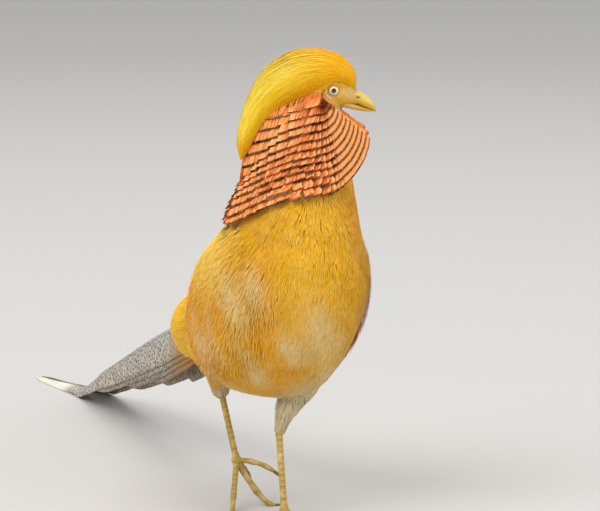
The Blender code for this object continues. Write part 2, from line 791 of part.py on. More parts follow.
def roof_point(along, spread, lower, shrink=1.0):
    """A point on the vaulted roof, spread from the ridge at 0 to an eave at 1 or -1."""
    across, height, half, depth = tail_section(along)
    reach = abs(spread)
    bend = math.pi / 2 * reach
    steep = min(depth / half, 1.0)
    x = steep * math.sin(bend) + (1 - steep) * reach
    drop = steep * (1 - math.cos(bend)) * (0.35 + 0.65 * reach) + (1 - steep) * reach ** 2
    z = height + depth / 2 - drop * depth - lower
    return Vector((across + math.copysign(x, spread) * half * shrink, along, max(z, TAIL_REST)))


def tail_vane(side, start, end, inner, outer, lower, shrink, steps, folds, thickness):
    """One long tail feather as a bent strip of the roof between two spreads."""
    rows = []
    for step in range(steps + 1):
        part = step / steps
        along = start + (end - start) * part
        tip = math.sqrt(max(1 - max((part - 0.80) / 0.2, 0.0) ** 2, 0.03))
        middle = (inner + outer) / 2
        half = (outer - inner) / 2 * tip
        rows.append([roof_point(along, side * (middle + half * fold), lower, shrink) for fold in folds])
    return vane(rows, thickness, floor=0.0)


def tail_envelope(grow):
    """A plain body round the base of the tail that the rump's feathers stay out of."""
    rings = []
    for step in range(8):
        along = 0.095 + 0.12 * step / 7
        across, height, half, depth = tail_section(along)
        rings.append(oval_ring(Vector((across, along, height)), Vector((1, 0, 0)), Vector((0, 0, 1)),
                               half + grow, depth / 2 + grow, 16, 2.4))
    return face_outward(mesh_object("clear", *loft(rings)))


def make_tail():
    line = []
    for y in (0.066, 0.085, 0.110, 0.135, 0.160):
        across, height, _, _ = tail_section(y)
        line.append(Vector((across, y, height + 1.5 * MM)))
    root = tube(line, [r * MM for r in (9, 13, 15, 14, 7)], 12)
    tail = face_outward(mesh_object("tail", *root, "tail_feather"))
    pieces = []
    tip = TAIL_LINE[-1][0]
    for side in (1, -1):
        pieces.append(tail_vane(side, 0.090, tip, 0.035, 1.0, 0.0, 1.0, 12, (-1, 0, 0.72, 1), 0.9 * MM))
        for nest, end in enumerate(TAIL_SIDE_ENDS, 1):
            pieces.append(tail_vane(side, 0.095, end, 0.25, 1.0 + 0.03 * nest, 2.8 * MM * nest,
                                    1.0 - 0.055 * nest, 5, (-1, 0, 1), 0.7 * MM))
    join(tail, pieces)
    return tail


# The rump, with the feathers that hang over the tail's base

def rump_vanes(draw, tree):
    """Tiers of golden feathers that lie over the tail's base and hang down beside it."""
    vanes = []
    for start, end, count, reach, lift, wide in RUMP_TIERS:
        for number in range(count):
            angle = math.radians(-reach + 2 * reach * number / (count - 1))
            last = end + draw.uniform(-0.008, 0.008) - 0.016 * abs(angle)
            rows = []
            for step in range(RUMP_STEPS + 1):
                part = step / RUMP_STEPS
                along = start + (last - start) * part
                across, height, _, _ = tail_section(along)
                row = []
                for fold in (-1, 1):
                    turned = angle + fold * wide * RUMP_TAPER[step]
                    radius = (RUMP_RADIUS - 5.0 * part + lift - 8.0 * (1 - part)) * MM
                    point = Vector((across + radius * math.sin(turned), along,
                                    height + 4 * MM + radius * math.cos(turned)))
                    row.append(lay_clear(point, tree, (-3.0 + 6.0 * part) * MM))
                rows.append(row)
            vanes.append(vane(rows, 0.7 * MM))
    return vanes


# The legs

def thigh_mesh(name, rows, shank_cutter):
    steps = 8
    line = [Vector(sample(rows, step / steps)[:3]) for step in range(steps + 1)]
    radii = [sample(rows, step / steps)[3] * MM for step in range(steps + 1)]
    thigh = face_outward(mesh_object(name, *tube(line, radii, 14), "thigh_feather"))
    cut(thigh, [shank_cutter, flesh_mesh("clear", 2 * GAP)])
    return thigh


def shank_mesh(name, ankle, joint, grow=0.0, colour=None):
    """The bare shank, with the scutes down its front as low steps."""
    forward = (joint - ankle).normalized()
    across = forward.cross(Vector((0, 1, 0))).normalized()
    front = across.cross(forward)
    if front.y > 0:
        front = -front
    top = ankle - forward * (4 * MM + grow)
    bottom = joint - forward * (HUB + GAP)
    rings = []
    scutes = 11
    for n in range(scutes):
        for part, step in ((0.0, 0.0), (0.85, 0.45)):
            place = (n + part) / (scutes - 0.15)
            swell = 1 + 0.5 * (2 * place - 1) ** 6
            ring = []
            for side in range(7):
                angle = 2 * math.pi * side / 7
                half = (2.9 * swell + step * max(math.cos(angle), 0.0)) * MM + grow
                ring.append(top + (bottom - top) * place + front * (half * 1.12 * math.cos(angle))
                            + across * (half * 0.95 * math.sin(angle)))
            rings.append(ring)
    points, faces = loft(rings)
    return face_outward(mesh_object(name, points, faces, colour))


def toe_line(start, bend, tip, steps=5):
    line = []
    for step in range(steps + 1):
        part = step / steps
        line.append(start * (1 - part) ** 2 + bend * (2 * part * (1 - part)) + tip * part ** 2)
    return line


def make_foot(side, ankle, joint, toes):
    """A foot with its toes as one piece, and each claw as a piece of its own."""
    back = (ankle - joint).normalized()
    hub_line = [joint + back * HUB, joint + back * (1.5 * MM), joint - back * (2.5 * MM)]
    hub = tube(hub_line, [3.3 * MM, 4.8 * MM, 3.4 * MM], 8, 1.0, 0.0)
    foot = face_outward(mesh_object(f"foot_{side}", *hub, "leg_scale"))
    pieces = []
    for number, (tip, bend, thick) in enumerate(toes, 1):
        line = toe_line(joint, Vector(bend), Vector(tip))
        radii = [thick * MM * (1.0 - 0.055 * i) * (1.0 + 0.10 * math.cos(i * math.pi)) for i in range(6)]
        pieces.append(face_outward(mesh_object("toe", *tube(line, radii, 6, 1.0, 0.0))))
        forward = (line[-1] - line[-2]).normalized()
        if tip[2] < 0.01:
            forward.z = 0.0
            forward.normalize()
        claw_line = [line[-1] + forward * (reach * MM + GAP) - Vector((0, 0, 0.02 * reach ** 2 * MM))
                     for reach in (0.5, 3.5, 6.8, 9.5)]
        claw_line = [Vector((p.x, p.y, max(p.z, 0.6 * MM))) for p in claw_line]
        claw = tube(claw_line, [r * MM for r in (1.6, 1.5, 1.0, 0.35)], 6, 1.0, 0.0)
        face_outward(mesh_object(f"claw_{side}_{number}", *claw, "claw_horn"))
    join(foot, pieces)
    return foot


# The whole bird

def make_body_parts(draw):
    flesh = flesh_mesh("flesh")
    tree = tree_of(flesh)
    bpy.data.objects.remove(flesh)
    half_gap = GAP / 2

    torso = flesh_mesh("torso", 0.0, "yellow_feather")
    slice_away(torso, Vector((0, 0, NECK_FROM - half_gap)), Vector((0, 0, 1)))
    slice_away(torso, Vector((0, RUMP_FROM - half_gap, 0)), Vector((0, 1, 0)))

    rump = flesh_mesh("rump", 0.0, "yellow_feather")
    slice_away(rump, Vector((0, RUMP_FROM + half_gap, 0)), Vector((0, -1, 0)))
    join(rump, rump_vanes(draw, tree))

    neck = flesh_mesh("neck", 0.0, "cape_feather")
    slice_away(neck, Vector((0, 0, NECK_FROM + half_gap)), Vector((0, 0, -1)))
    join(neck, [cape_core(tree)] + cape_vanes(draw, tree))
    return torso, rump, neck


def centre_on_floor():
    """Moves the whole bird so that the origin is the middle of its box, on the floor."""
    corners = [v.co for obj in bpy.data.objects for v in obj.data.vertices]
    low = [min(c[axis] for c in corners) for axis in range(3)]
    high = [max(c[axis] for c in corners) for axis in range(3)]
    shift = Vector((-(low[0] + high[0]) / 2, -(low[1] + high[1]) / 2, -low[2]))
    for obj in bpy.data.objects:
        obj.data.transform(Matrix.Translation(shift))
        smooth_shading(obj)
    print("moved by", [round(value, 4) for value in shift])


def main():
    for obj in list(bpy.data.objects):
        bpy.data.objects.remove(obj)
    draw = random.Random(7)
    head = make_head(draw)
    make_bill()
    for name, side in (("eye_right", 1), ("eye_left", -1)):
        ball(name, in_head(0, 0, side * (EYE_OUT - EYE_RADIUS) / MM), EYE_RADIUS, "iris")
    torso, rump, neck = make_body_parts(draw)
    below = flesh_mesh("clear", GAP)
    slice_away(below, Vector((0, 0, NECK_FROM + GAP / 2)), Vector((0, 0, 1)))
    cut(neck, [below, skull_mesh("clear", GAP), crest_tube("clear", 0.02, 1.0, 1.10), bill_clearance(),
               cheek_fold(1, GAP), cheek_fold(-1, GAP)])
    for name, side in (("wing_left", 1), ("wing_right", -1)):
        wing = make_wing(name, side, draw)
        cut(wing, [flesh_mesh("clear", 2 * GAP)])
        merge_level_faces(wing)
        for part in (rump, neck):
            cut(part, [wing_core(side, -1.0 * MM, 11.5 * MM, -0.03, 1.04, 0.12)])
    tail = make_tail()
    cut(tail, [flesh_mesh("clear", GAP)])
    cut(rump, [tail_envelope(2.2 * MM)])
    for part in (head, neck, rump, tail):
        merge_level_faces(part)
    for side, ankle, joint, thigh, toes in (("left", LEFT_ANKLE, LEFT_FOOT, LEFT_THIGH, LEFT_TOES),
                                            ("right", RIGHT_ANKLE, RIGHT_FOOT, RIGHT_THIGH, RIGHT_TOES)):
        shank_mesh(f"shank_{side}", ankle, joint, 0.0, "leg_scale")
        thigh_mesh(f"thigh_{side}", thigh, shank_mesh("clear", ankle, joint, 1.5 * GAP))
        make_foot(side, ankle, joint, toes)
    centre_on_floor()


main()
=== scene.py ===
# %% [markdown]
# Yellow golden pheasant cock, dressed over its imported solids.
#
# The solids give the bird's size, pose and outline. This lesson lays the living surface over them:
# one skin, several coats of feathers, a silky crest, a barred cape, a netted tail, and the hard
# parts such as bill, eyes, scales and claws. Everything is made in code, so that each run is alike.

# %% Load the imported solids
import math

import bpy
import numpy as np
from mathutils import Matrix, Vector
from mathutils.bvhtree import BVHTree


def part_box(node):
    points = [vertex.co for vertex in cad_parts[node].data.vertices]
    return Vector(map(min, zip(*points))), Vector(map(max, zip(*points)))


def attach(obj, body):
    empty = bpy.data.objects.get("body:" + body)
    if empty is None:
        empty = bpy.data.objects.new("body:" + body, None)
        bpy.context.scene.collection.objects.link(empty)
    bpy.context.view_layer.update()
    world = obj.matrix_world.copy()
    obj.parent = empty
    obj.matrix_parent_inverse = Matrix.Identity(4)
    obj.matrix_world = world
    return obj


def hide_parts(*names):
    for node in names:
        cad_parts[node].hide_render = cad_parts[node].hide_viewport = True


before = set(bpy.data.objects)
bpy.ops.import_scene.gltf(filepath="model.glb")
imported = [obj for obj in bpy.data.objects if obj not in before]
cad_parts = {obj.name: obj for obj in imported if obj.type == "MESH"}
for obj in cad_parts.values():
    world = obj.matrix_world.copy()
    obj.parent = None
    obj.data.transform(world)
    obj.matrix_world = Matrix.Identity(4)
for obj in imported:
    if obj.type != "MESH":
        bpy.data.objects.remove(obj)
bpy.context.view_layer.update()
MM = 0.001
print("solids loaded:", len(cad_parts), "nodes")

# %% [markdown]
# The bird was modelled about the floor point under its body, and then moved so that the whole box
# is centred. The right eye is in both, so the difference of its two places gives that move. All
# measures below are about the floor point under the body, and one helper adds the move at the end.

# %% Find where the bird stands
HEAD_TURN = math.radians(64.0)
EYE_POINT = np.array((0.029, -0.090, 0.3826))
HEAD_FORWARD = np.array((math.sin(HEAD_TURN), -math.cos(HEAD_TURN), 0.0))
HEAD_UP = np.array((0.0, 0.0, 1.0))
HEAD_RIGHT = np.cross(HEAD_FORWARD, HEAD_UP)
EYE_RADIUS = 5.6
EYE_SIDE = 8.0


def in_head(forward, up, right=0.0):
    """A place in the head, in millimetres from the point between the eyes."""
    return (EYE_POINT + np.multiply.outer(np.asarray(forward, float) * MM, HEAD_FORWARD)
            + np.multiply.outer(np.asarray(up, float) * MM, HEAD_UP)
            + np.multiply.outer(np.asarray(right, float) * MM, HEAD_RIGHT))


def head_place(points):
    """The reverse of in_head: forward, up and right in millimetres."""
    apart = (np.asarray(points) - EYE_POINT) / MM
    return apart @ HEAD_FORWARD, apart @ HEAD_UP, apart @ HEAD_RIGHT


eye_low, eye_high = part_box("eye_right")
MOVE = np.array((eye_low + eye_high) / 2) - in_head(0, 0, EYE_SIDE)
print("moved by", MOVE.round(4), "m")

# %% [markdown]
# A picture from far away through a long lens keeps the bird's proportions flat and calm. The
# camera stands low, three metres off the bird's right front, and looks down by seven degrees.

# %% Camera
CAMERA_SIDE = np.array((0.899, -0.438, 0.0))
CAMERA_AHEAD = np.array((0.438, 0.899, 0.0))
CAMERA_BACK, CAMERA_SHIFT, CAMERA_HEIGHT = 3.0, 0.0359, 0.60
PITCH = math.radians(7.08)
SENSOR_WIDTH = 36.0
LENS_PIXELS, PICTURE_PIXELS = 3346, 600
camera_data = bpy.data.cameras.new("camera")
camera_data.sensor_width = SENSOR_WIDTH
camera_data.lens = LENS_PIXELS / PICTURE_PIXELS * SENSOR_WIDTH
camera_data.clip_end = 40.0
camera = bpy.data.objects.new("camera", camera_data)
bpy.context.scene.collection.objects.link(camera)
camera.location = (MOVE + CAMERA_SIDE * CAMERA_SHIFT - CAMERA_AHEAD * CAMERA_BACK
                   + HEAD_UP * CAMERA_HEIGHT)
gaze = Vector(CAMERA_AHEAD * math.cos(PITCH) - HEAD_UP * math.sin(PITCH))
camera.rotation_euler = gaze.to_track_quat("-Z", "Y").to_euler()
bpy.context.scene.camera = camera
# Deep yellows lose their strength under a film-like picture curve, so the plain one is used.
bpy.context.scene.view_settings.view_transform = "Standard"
print("camera lens", round(camera_data.lens, 1), "mm")

# %% [markdown]
# Three soft square lamps and a pale sky light the bird. The key lamp stands to the left of the
# camera, the fill lamp low to its right, and the third lights the back from above.

# %% Light
LIT_HEIGHT = 0.22
# Each lamp: metres ahead, to the side and up from the bird's middle, size, watts and colour.
LAMPS = {"key": (-3.2, -2.4, 4.0, 3.2, 176, (1.0, 0.98, 0.95)),
         "fill": (-2.8, 3.8, 1.8, 3.6, 58, (0.98, 0.99, 1.0)),
         "sky": (1.8, 0.0, 4.8, 4.0, 110, (0.99, 0.99, 1.0))}
heart = MOVE + HEAD_UP * LIT_HEIGHT
for name, (ahead, side, up, size, power, colour) in LAMPS.items():
    lamp_data = bpy.data.lights.new(name, "AREA")
    lamp_data.size = size
    lamp_data.energy = power
    lamp_data.color = colour
    lamp = bpy.data.objects.new(name, lamp_data)
    bpy.context.scene.collection.objects.link(lamp)
    lamp.location = heart + CAMERA_AHEAD * ahead + CAMERA_SIDE * side + HEAD_UP * up
    lamp.rotation_euler = (Vector(heart) - lamp.location).to_track_quat("-Z", "Y").to_euler()
world = bpy.data.worlds.new("studio")
bpy.context.scene.world = world
world.use_nodes = True
world.node_tree.nodes["Background"].inputs["Color"].default_value = (0.86, 0.88, 0.90, 1)
world.node_tree.nodes["Background"].inputs["Strength"].default_value = 0.8
print("lamps", len(LAMPS))

# %% [markdown]
# A few helpers do what every step needs: turn arrays into a mesh, set the inputs of a shader node,
# give each point of a piece its colour, and dress a piece with its material, hiding the solids it replaces.


# %% Helpers for pieces and materials
def mesh_piece(name, points, faces):
    """An object from arrays: points about the floor point under the body, faces all of one size."""
    points = np.asarray(points, float).reshape(-1, 3) + MOVE
    faces = np.asarray(faces, np.int32)
    mesh = bpy.data.meshes.new(name)
    mesh.vertices.add(len(points))
    mesh.vertices.foreach_set("co", points.ravel())
    mesh.loops.add(faces.size)
    mesh.loops.foreach_set("vertex_index", faces.ravel())
    mesh.polygons.add(len(faces))
    mesh.polygons.foreach_set("loop_start", np.arange(len(faces), dtype=np.int32) * faces.shape[1])
    mesh.polygons.foreach_set("use_smooth", np.full(len(faces), True))
    mesh.update(calc_edges=True)
    made = bpy.data.objects.new(name, mesh)
    bpy.context.scene.collection.objects.link(made)
    return made


def paint(piece, tint):
    """Stores a colour for each point under the name that the materials read, with an optional alpha."""
    colour = np.ones((len(tint), 4), np.float32)
    colour[:, :tint.shape[1]] = tint
    store = piece.data.attributes.new("tint", "FLOAT_COLOR", "POINT")
    store.data.foreach_set("color", colour.ravel())


def dress(piece, material, slot, *nodes):
    """Gives a piece its material and hides the solids that it replaces; slot is not used."""
    piece.data.materials.append(material)
    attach(piece, "root")
    if nodes:
        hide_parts(*nodes)


def srgb(red, green, blue):
    """A colour as a screen shows it, turned into the linear values that shaders use."""
    share = np.array((red, green, blue), float) / 255
    return np.where(share <= 0.04045, share / 12.92, ((share + 0.055) / 1.055) ** 2.4)


def set_inputs(node, **values):
    """Sets inputs of a shader node; an underscore stands for a space in the input's name."""
    for name, value in values.items():
        node.inputs[name.replace("_", " ")].default_value = value


def add_node(tree, kind, **values):
    """Adds a shader node and sets its inputs."""
    node = tree.nodes.new("ShaderNode" + kind)
    set_inputs(node, **values)
    return node


def wire(tree, *wires):
    """Links nodes; each wire says from which node and output to which node and input."""
    for start, output, end, entry in wires:
        tree.links.new(start.outputs[output], end.inputs[entry])


def plain_material(name, colour, roughness, **values):
    """A material of one colour. Returns it with its node tree and its Principled shader."""
    made = bpy.data.materials.new(name)
    made.use_nodes = True
    shader = made.node_tree.nodes["Principled BSDF"]
    set_inputs(shader, Base_Color=(*colour, 1), Roughness=roughness, **values)
    return made, made.node_tree, shader


# %% [markdown]
# The floor is one wide flat sheet. It reaches far enough that its edge stays above the picture, and
# nothing stands on it, so the bird can be looked at from every side.

# %% Floor
FLOOR_REACH = 40.0
corners = [(-FLOOR_REACH, -FLOOR_REACH, 0), (FLOOR_REACH, -FLOOR_REACH, 0),
           (FLOOR_REACH, FLOOR_REACH, 0), (-FLOOR_REACH, FLOOR_REACH, 0)]
floor = mesh_piece("floor", corners, [(0, 1, 2, 3)])
floor.data.materials.append(plain_material("pale_floor", srgb(196, 193, 189), 0.9)[0])
print("floor", 2 * FLOOR_REACH, "m wide")

# %% [markdown]
# The flesh from the belly to the top of the neck is a stack of level ovals. Each row names one
# oval: its height, middle, half width, half length and turn. A smooth reader fills in between
# the rows, so the whole form is one short table that a maker can change by hand.

# %% The body's form
FLESH_LEVELS = np.array((
    (0.106, 0.000, -0.005, 0.020, 0.040, 0), (0.111, 0.000, -0.006, 0.034, 0.064, 0),
    (0.124, 0.000, -0.007, 0.047, 0.088, 0), (0.145, 0.000, -0.014, 0.056, 0.104, 0),
    (0.170, 0.000, -0.025, 0.061, 0.112, 0), (0.195, 0.000, -0.038, 0.063, 0.110, 0),
    (0.220, 0.000, -0.051, 0.062, 0.100, 0), (0.245, 0.000, -0.064, 0.058, 0.084, 0),
    (0.265, 0.000, -0.071, 0.053, 0.071, 0), (0.282, 0.001, -0.075, 0.048, 0.060, 6),
    (0.300, 0.003, -0.078, 0.041, 0.050, 18), (0.320, 0.008, -0.080, 0.033, 0.040, 36),
    (0.340, 0.013, -0.083, 0.026, 0.031, 52), (0.356, 0.017, -0.085, 0.021, 0.026, 62),
    (0.376, 0.019, -0.086, 0.016, 0.020, 64)))
FULLNESS = 2.15


def read_rows(rows, place):
    """Reads a table smoothly between its rows, by a place from 0 to 1, one or many at a time."""
    rows = np.asarray(rows, float)
    place = np.clip(np.asarray(place, float), 0, 1) * (len(rows) - 1)
    index = np.minimum(place.astype(int), len(rows) - 2)
    part = (place - index)[..., None]
    start, end = rows[index], rows[index + 1]
    lean_start = (end - rows[np.maximum(index - 1, 0)]) / 2
    lean_end = (rows[np.minimum(index + 2, len(rows) - 1)] - start) / 2
    cube, square = part ** 3, part ** 2
    return ((2 * cube - 3 * square + 1) * start + (cube - 2 * square + part) * lean_start
            + (3 * square - 2 * cube) * end + (cube - square) * lean_end)


def row_place(column, value):
    """Where a value falls along a rising column, as a place from 0 to 1."""
    return np.interp(value, column, np.arange(len(column)) / (len(column) - 1))


def squared(wave, power):
    """Fills a circle's sine or cosine out toward a square, keeping its sign."""
    return np.sign(wave) * np.abs(wave) ** power


def flesh_point(angle, height, grow=0.0):
    """A point of the body's oval at a height; angle 0 is the bird's left, a quarter turn its back."""
    row = read_rows(FLESH_LEVELS, row_place(FLESH_LEVELS[:, 0], height))
    x = squared(np.cos(angle), 2 / FULLNESS) * (row[..., 3] + grow)
    y = squared(np.sin(angle), 2 / FULLNESS) * (row[..., 4] + grow)
    turn = np.radians(row[..., 5])
    return np.stack((row[..., 1] + x * np.cos(turn) - y * np.sin(turn),
                     row[..., 2] + x * np.sin(turn) + y * np.cos(turn), height + 0 * x), -1)


def side_of_body(along, height, grow=0.0):
    """How far the body reaches sideways at a place on the flank."""
    row = read_rows(FLESH_LEVELS, row_place(FLESH_LEVELS[:, 0], height))
    reach = np.minimum(np.abs((along - row[..., 2]) / row[..., 4]), 0.999)
    return row[..., 3] * (1 - reach ** FULLNESS) ** (1 / FULLNESS) + grow


def circle(sides):
    return 2 * np.pi * np.arange(sides) / sides


# %% [markdown]
# Two makers of closed skins serve the whole bird: one lays a skin over rings of points, and the
# other sets rings round a bent line.


# %% Skins over rings
def loft(rings):
    """Faces of a closed skin over rings of points, with a middle point added at each end."""
    rings = np.asarray(rings, float)
    count, sides = rings.shape[:2]
    points = np.concatenate((rings.reshape(-1, 3), [rings[0].mean(0), rings[-1].mean(0)]))
    faces = []
    for side in range(sides):
        beside = (side + 1) % sides
        faces.append((beside, side, count * sides))
        faces.append(((count - 1) * sides + side, (count - 1) * sides + beside, count * sides + 1))
        for row in range(count - 1):
            here, there = row * sides + side, row * sides + beside
            faces.append((here, there, there + sides))
            faces.append((here, there + sides, here + sides))
    return points, faces


def grid_faces(number):
    """Four-cornered faces between the neighbouring points of one or more numbered grids."""
    corners = (number[..., :-1, :-1], number[..., :-1, 1:], number[..., 1:, 1:], number[..., 1:, :-1])
    return np.stack(corners, -1).reshape(-1, 4)


def join(forms):
    """Puts several closed skins into one list of points and one of faces."""
    points, faces = [], []
    for form_points, form_faces in forms:
        faces += [[corner + len(points) for corner in face] for face in form_faces]
        points += list(form_points)
    return points, faces


def tube(line, radii, sides=16):
    """Rings round a line of points, with a radius at each."""
    line = np.asarray(line, float)
    turn = circle(sides)
    rings = []
    for index, point in enumerate(line):
        forward = line[min(index + 1, len(line) - 1)] - line[max(index - 1, 0)]
        forward = forward / np.linalg.norm(forward)
        across = np.cross(forward, (0, 0, 1))
        # A line that stands upright has no level direction across it, so another helper axis is used.
        if np.linalg.norm(across) < 0.2:
            across = np.cross(forward, (0, 1, 0))
        across = across / np.linalg.norm(across)
        up = np.cross(across, forward)
        rings.append(point + radii[index] * (np.outer(np.cos(turn), across) + np.outer(np.sin(turn), up)))
    return rings


COAT_DEPTH = 5.0 * MM
body_heights = np.concatenate((np.linspace(0.111, 0.282, 40), np.linspace(0.286, 0.376, 24)))
body_rings = [flesh_point(circle(64), np.full(64, height), -COAT_DEPTH) for height in body_heights]
print("body rings", len(body_rings))

# %% [markdown]
# The head is a smaller stack of ovals along the line from nape to bill, measured from the eye.

# %% The skull and thighs
FACE_DEPTH = 0.7
# Each row: forward and up from the eye, half height and half width, in millimetres.
SKULL = ((-35, 2, 4.0, 4.0), (-32, 3, 8.5, 8.0), (-24, 4, 14.5, 12.0), (-14, 4, 17.5, 13.8),
         (-4, 3, 17.5, 13.4), (6, 1, 15.5, 11.6), (13, -2, 12.0, 9.2), (18, -5, 8.5, 7.0),
         (21, -7, 5.5, 5.0))
skull_rings = []
for forward, up, half_up, half_across in read_rows(SKULL, np.arange(31) / 30):
    side = squared(np.cos(circle(36)), 2 / 2.2) * (half_across - FACE_DEPTH)
    rise = squared(np.sin(circle(36)), 2 / 2.2) * (half_up - FACE_DEPTH)
    skull_rings.append(in_head(np.full(36, forward), up + rise, side))

# Each row: a place on the thigh's middle line and the radius there in millimetres.
LEFT_THIGH = ((0.030, -0.038, 0.160, 26), (0.0156, -0.0521, 0.1217, 18), (0.0041, -0.0577, 0.1061, 12.5),
              (-0.0050, -0.0600, 0.0905, 8.5), (-0.0107, -0.0615, 0.0750, 5.4))
RIGHT_THIGH = ((-0.034, 0.012, 0.160, 24), (-0.031, 0.020, 0.125, 14), (-0.029, 0.0235, 0.108, 8.5),
               (-0.028, 0.0245, 0.099, 5.4))
thigh_rings = []
for rows in (LEFT_THIGH, RIGHT_THIGH):
    line = read_rows(rows, np.linspace(0, 1, 16))
    radii = np.maximum(line[:, 3] - np.linspace(4.0, 1.4, 16), 2.6) * MM
    thigh_rings.append(tube(line[:, :3], radii, 24))
print("skull rings", len(skull_rings))

# %% [markdown]
# One skin has no seam. Body, head, thighs and tail root are first made as plain closed forms that
# cross each other. A voxel remesh then melts them into one surface, and a few rounds of smoothing
# take away the steps. Joining by Booleans would leave hard creases where the forms meet.

# %% Melt the forms into one skin
TAIL_ROOT = ((0.000, 0.030, 0.172), (0.000, 0.062, 0.152), (0.003, 0.100, 0.146), (0.012, 0.150, 0.134),
             (0.021, 0.200, 0.121))
tail_root_rings = tube(TAIL_ROOT, [14 * MM, 16 * MM, 15 * MM, 12 * MM, 6 * MM], 24)
forms = [loft(rings) for rings in (body_rings, skull_rings, *thigh_rings, tail_root_rings)]
skin = mesh_piece("skin", *join(forms))
remesh = skin.modifiers.new("melt", "REMESH")
remesh.mode = "VOXEL"
remesh.voxel_size = 1.6 * MM
relax = skin.modifiers.new("relax", "SMOOTH")
relax.factor = 0.5
relax.iterations = 8
melted = skin.evaluated_get(bpy.context.evaluated_depsgraph_get())
skin_mesh = bpy.data.meshes.new_from_object(melted)
skin.modifiers.clear()
skin.data = skin_mesh
skin.data.shade_smooth()
print("skin faces", len(skin.data.polygons))

# %% [markdown]
# The skin sinks round each eye, so that the eyeball stands in a shallow cup. A search tree then
# finds the nearest place on the finished skin, which is how every plume keeps to it.


# %% Eye sockets and the search tree
def unit(vectors):
    return vectors / np.maximum(np.linalg.norm(vectors, axis=-1, keepdims=True), 1e-12)


def smooth_step(low, high, value):
    """Rises softly from 0 at low to 1 at high; low may be the larger one."""
    part = np.clip((value - low) / (high - low), 0, 1)
    return part * part * (3 - 2 * part)


def points_of(piece):
    """A piece's points as an array, about the floor point under the body."""
    places = np.empty(len(piece.data.vertices) * 3)
    piece.data.vertices.foreach_get("co", places)
    return places.reshape(-1, 3) - MOVE


def search_tree(points, faces):
    return BVHTree.FromPolygons([tuple(point) for point in points], [tuple(face) for face in faces])


SOCKET_EDGE, SOCKET_MIDDLE, SOCKET_FLOOR = 7.4, 5.0, 9.0
skin_points = points_of(skin)
forward, up, right = head_place(skin_points)
away = np.hypot(forward, up / 0.92)
near_eye = (np.abs(right) > 6) & (away < SOCKET_EDGE) & (skin_points[:, 2] > 0.36)
sunk = smooth_step(SOCKET_EDGE, SOCKET_MIDDLE, away) * near_eye
depth = np.maximum(np.abs(right) - SOCKET_FLOOR, 0) * sunk
skin_points -= np.outer(np.sign(right) * depth * MM, HEAD_RIGHT)
skin.data.vertices.foreach_set("co", (skin_points + MOVE).ravel())
skin.data.update()
skin_tree = search_tree(skin_points, (face.vertices for face in skin.data.polygons))
print("points in the sockets", near_eye.sum())

# %% [markdown]
# Colours are mixed by shares. Soft clouds of crossing waves give patches that follow no grid, and
# a list of washes lays one colour over another, as a painter would.


# %% Mixing colours
def blend(first, second, share):
    """Mixes two colours, or two arrays of colours, by a share."""
    share = np.asarray(share)[..., None]
    return np.asarray(first) * (1 - share) + np.asarray(second) * share


def wash(tint, *layers):
    """Lays colours over a tint one after another; each layer is a colour and its share."""
    for colour, share in layers:
        tint = blend(tint, colour, share)
    return tint


def plain_tint(colour, points):
    """One colour for every point."""
    return np.tile(colour, (len(points), 1))


def cloud(points, size, seed):
    """Soft patches from -1 to 1 with about the size given, made of crossing waves."""
    draw = np.random.default_rng(seed)
    total = 0
    for _ in range(7):
        way = unit(draw.normal(size=3))
        pitch = 2 * np.pi / (size * draw.uniform(0.8, 1.9))
        total = total + np.sin((points @ way) * pitch + draw.uniform(0, 6.28))
    return np.clip(total / 3.2, -1, 1)


# %% [markdown]
# A feather is a narrow strip that starts under the coat, rises, and lies down along its
# neighbours. Hair particles would draw this quickly, but an exported model loses them. So every
# plume here is real mesh, and one routine makes thousands at once: it takes the middle line of each
# strip, the direction across it and the direction out of the body, and makes one joined piece.

# %% One routine for every plume
PATCH_WIDTH, PATCH_HEIGHT = 0.0014, 0.0028


def strips(name, centre, across, out, half_width, arch, folds, spot, tint, slot, material):
    """Joins many plumes to one mesh piece.

    centre, across and out are (plumes, stations, 3) arrays; half_width and arch are (plumes,
    stations); folds are places across the strip from -1 to 1; spot is where each root lies on an
    unwrap of the skin; tint is a colour for each plume and station, with an optional alpha.
    """
    plumes, stations = half_width.shape
    folds = np.asarray(folds, float)
    places = (centre[:, :, None] + across[:, :, None] * (half_width[:, :, None] * folds)[..., None]
              + out[:, :, None] * (arch[:, :, None] * (1 - folds ** 2))[..., None])
    faces = grid_faces(np.arange(plumes * stations * len(folds)).reshape(plumes, stations, len(folds)))
    made = mesh_piece(name, places, faces)
    # Each plume keeps a patch three thousandths wide on the map, at the place where it is rooted.
    patch = np.empty(places.shape[:3] + (2,))
    patch[..., 0] = spot[:, None, None, 0] + PATCH_WIDTH * folds
    patch[..., 1] = spot[:, None, None, 1] + PATCH_HEIGHT * (np.linspace(0, 1, stations)[:, None] - 0.5)
    uv = made.data.uv_layers.new(name="OFBake")
    uv.uv.foreach_set("vector", patch.reshape(-1, 2)[faces.ravel()].astype(np.float32).ravel())
    paint(made, np.repeat(tint.reshape(plumes * stations, -1), len(folds), 0))
    dress(made, material, slot)
    print(name, plumes, "plumes,", 2 * len(faces), "triangles")


# %% [markdown]
# Feather barbs scatter light sideways and keep a soft edge of brightness. The material reads the
# plume's own tint, breaks it up with fine noise so that no two barbs are quite alike, and adds
# sheen. A little light passes through, which keeps the shaded sides warm and not grey.


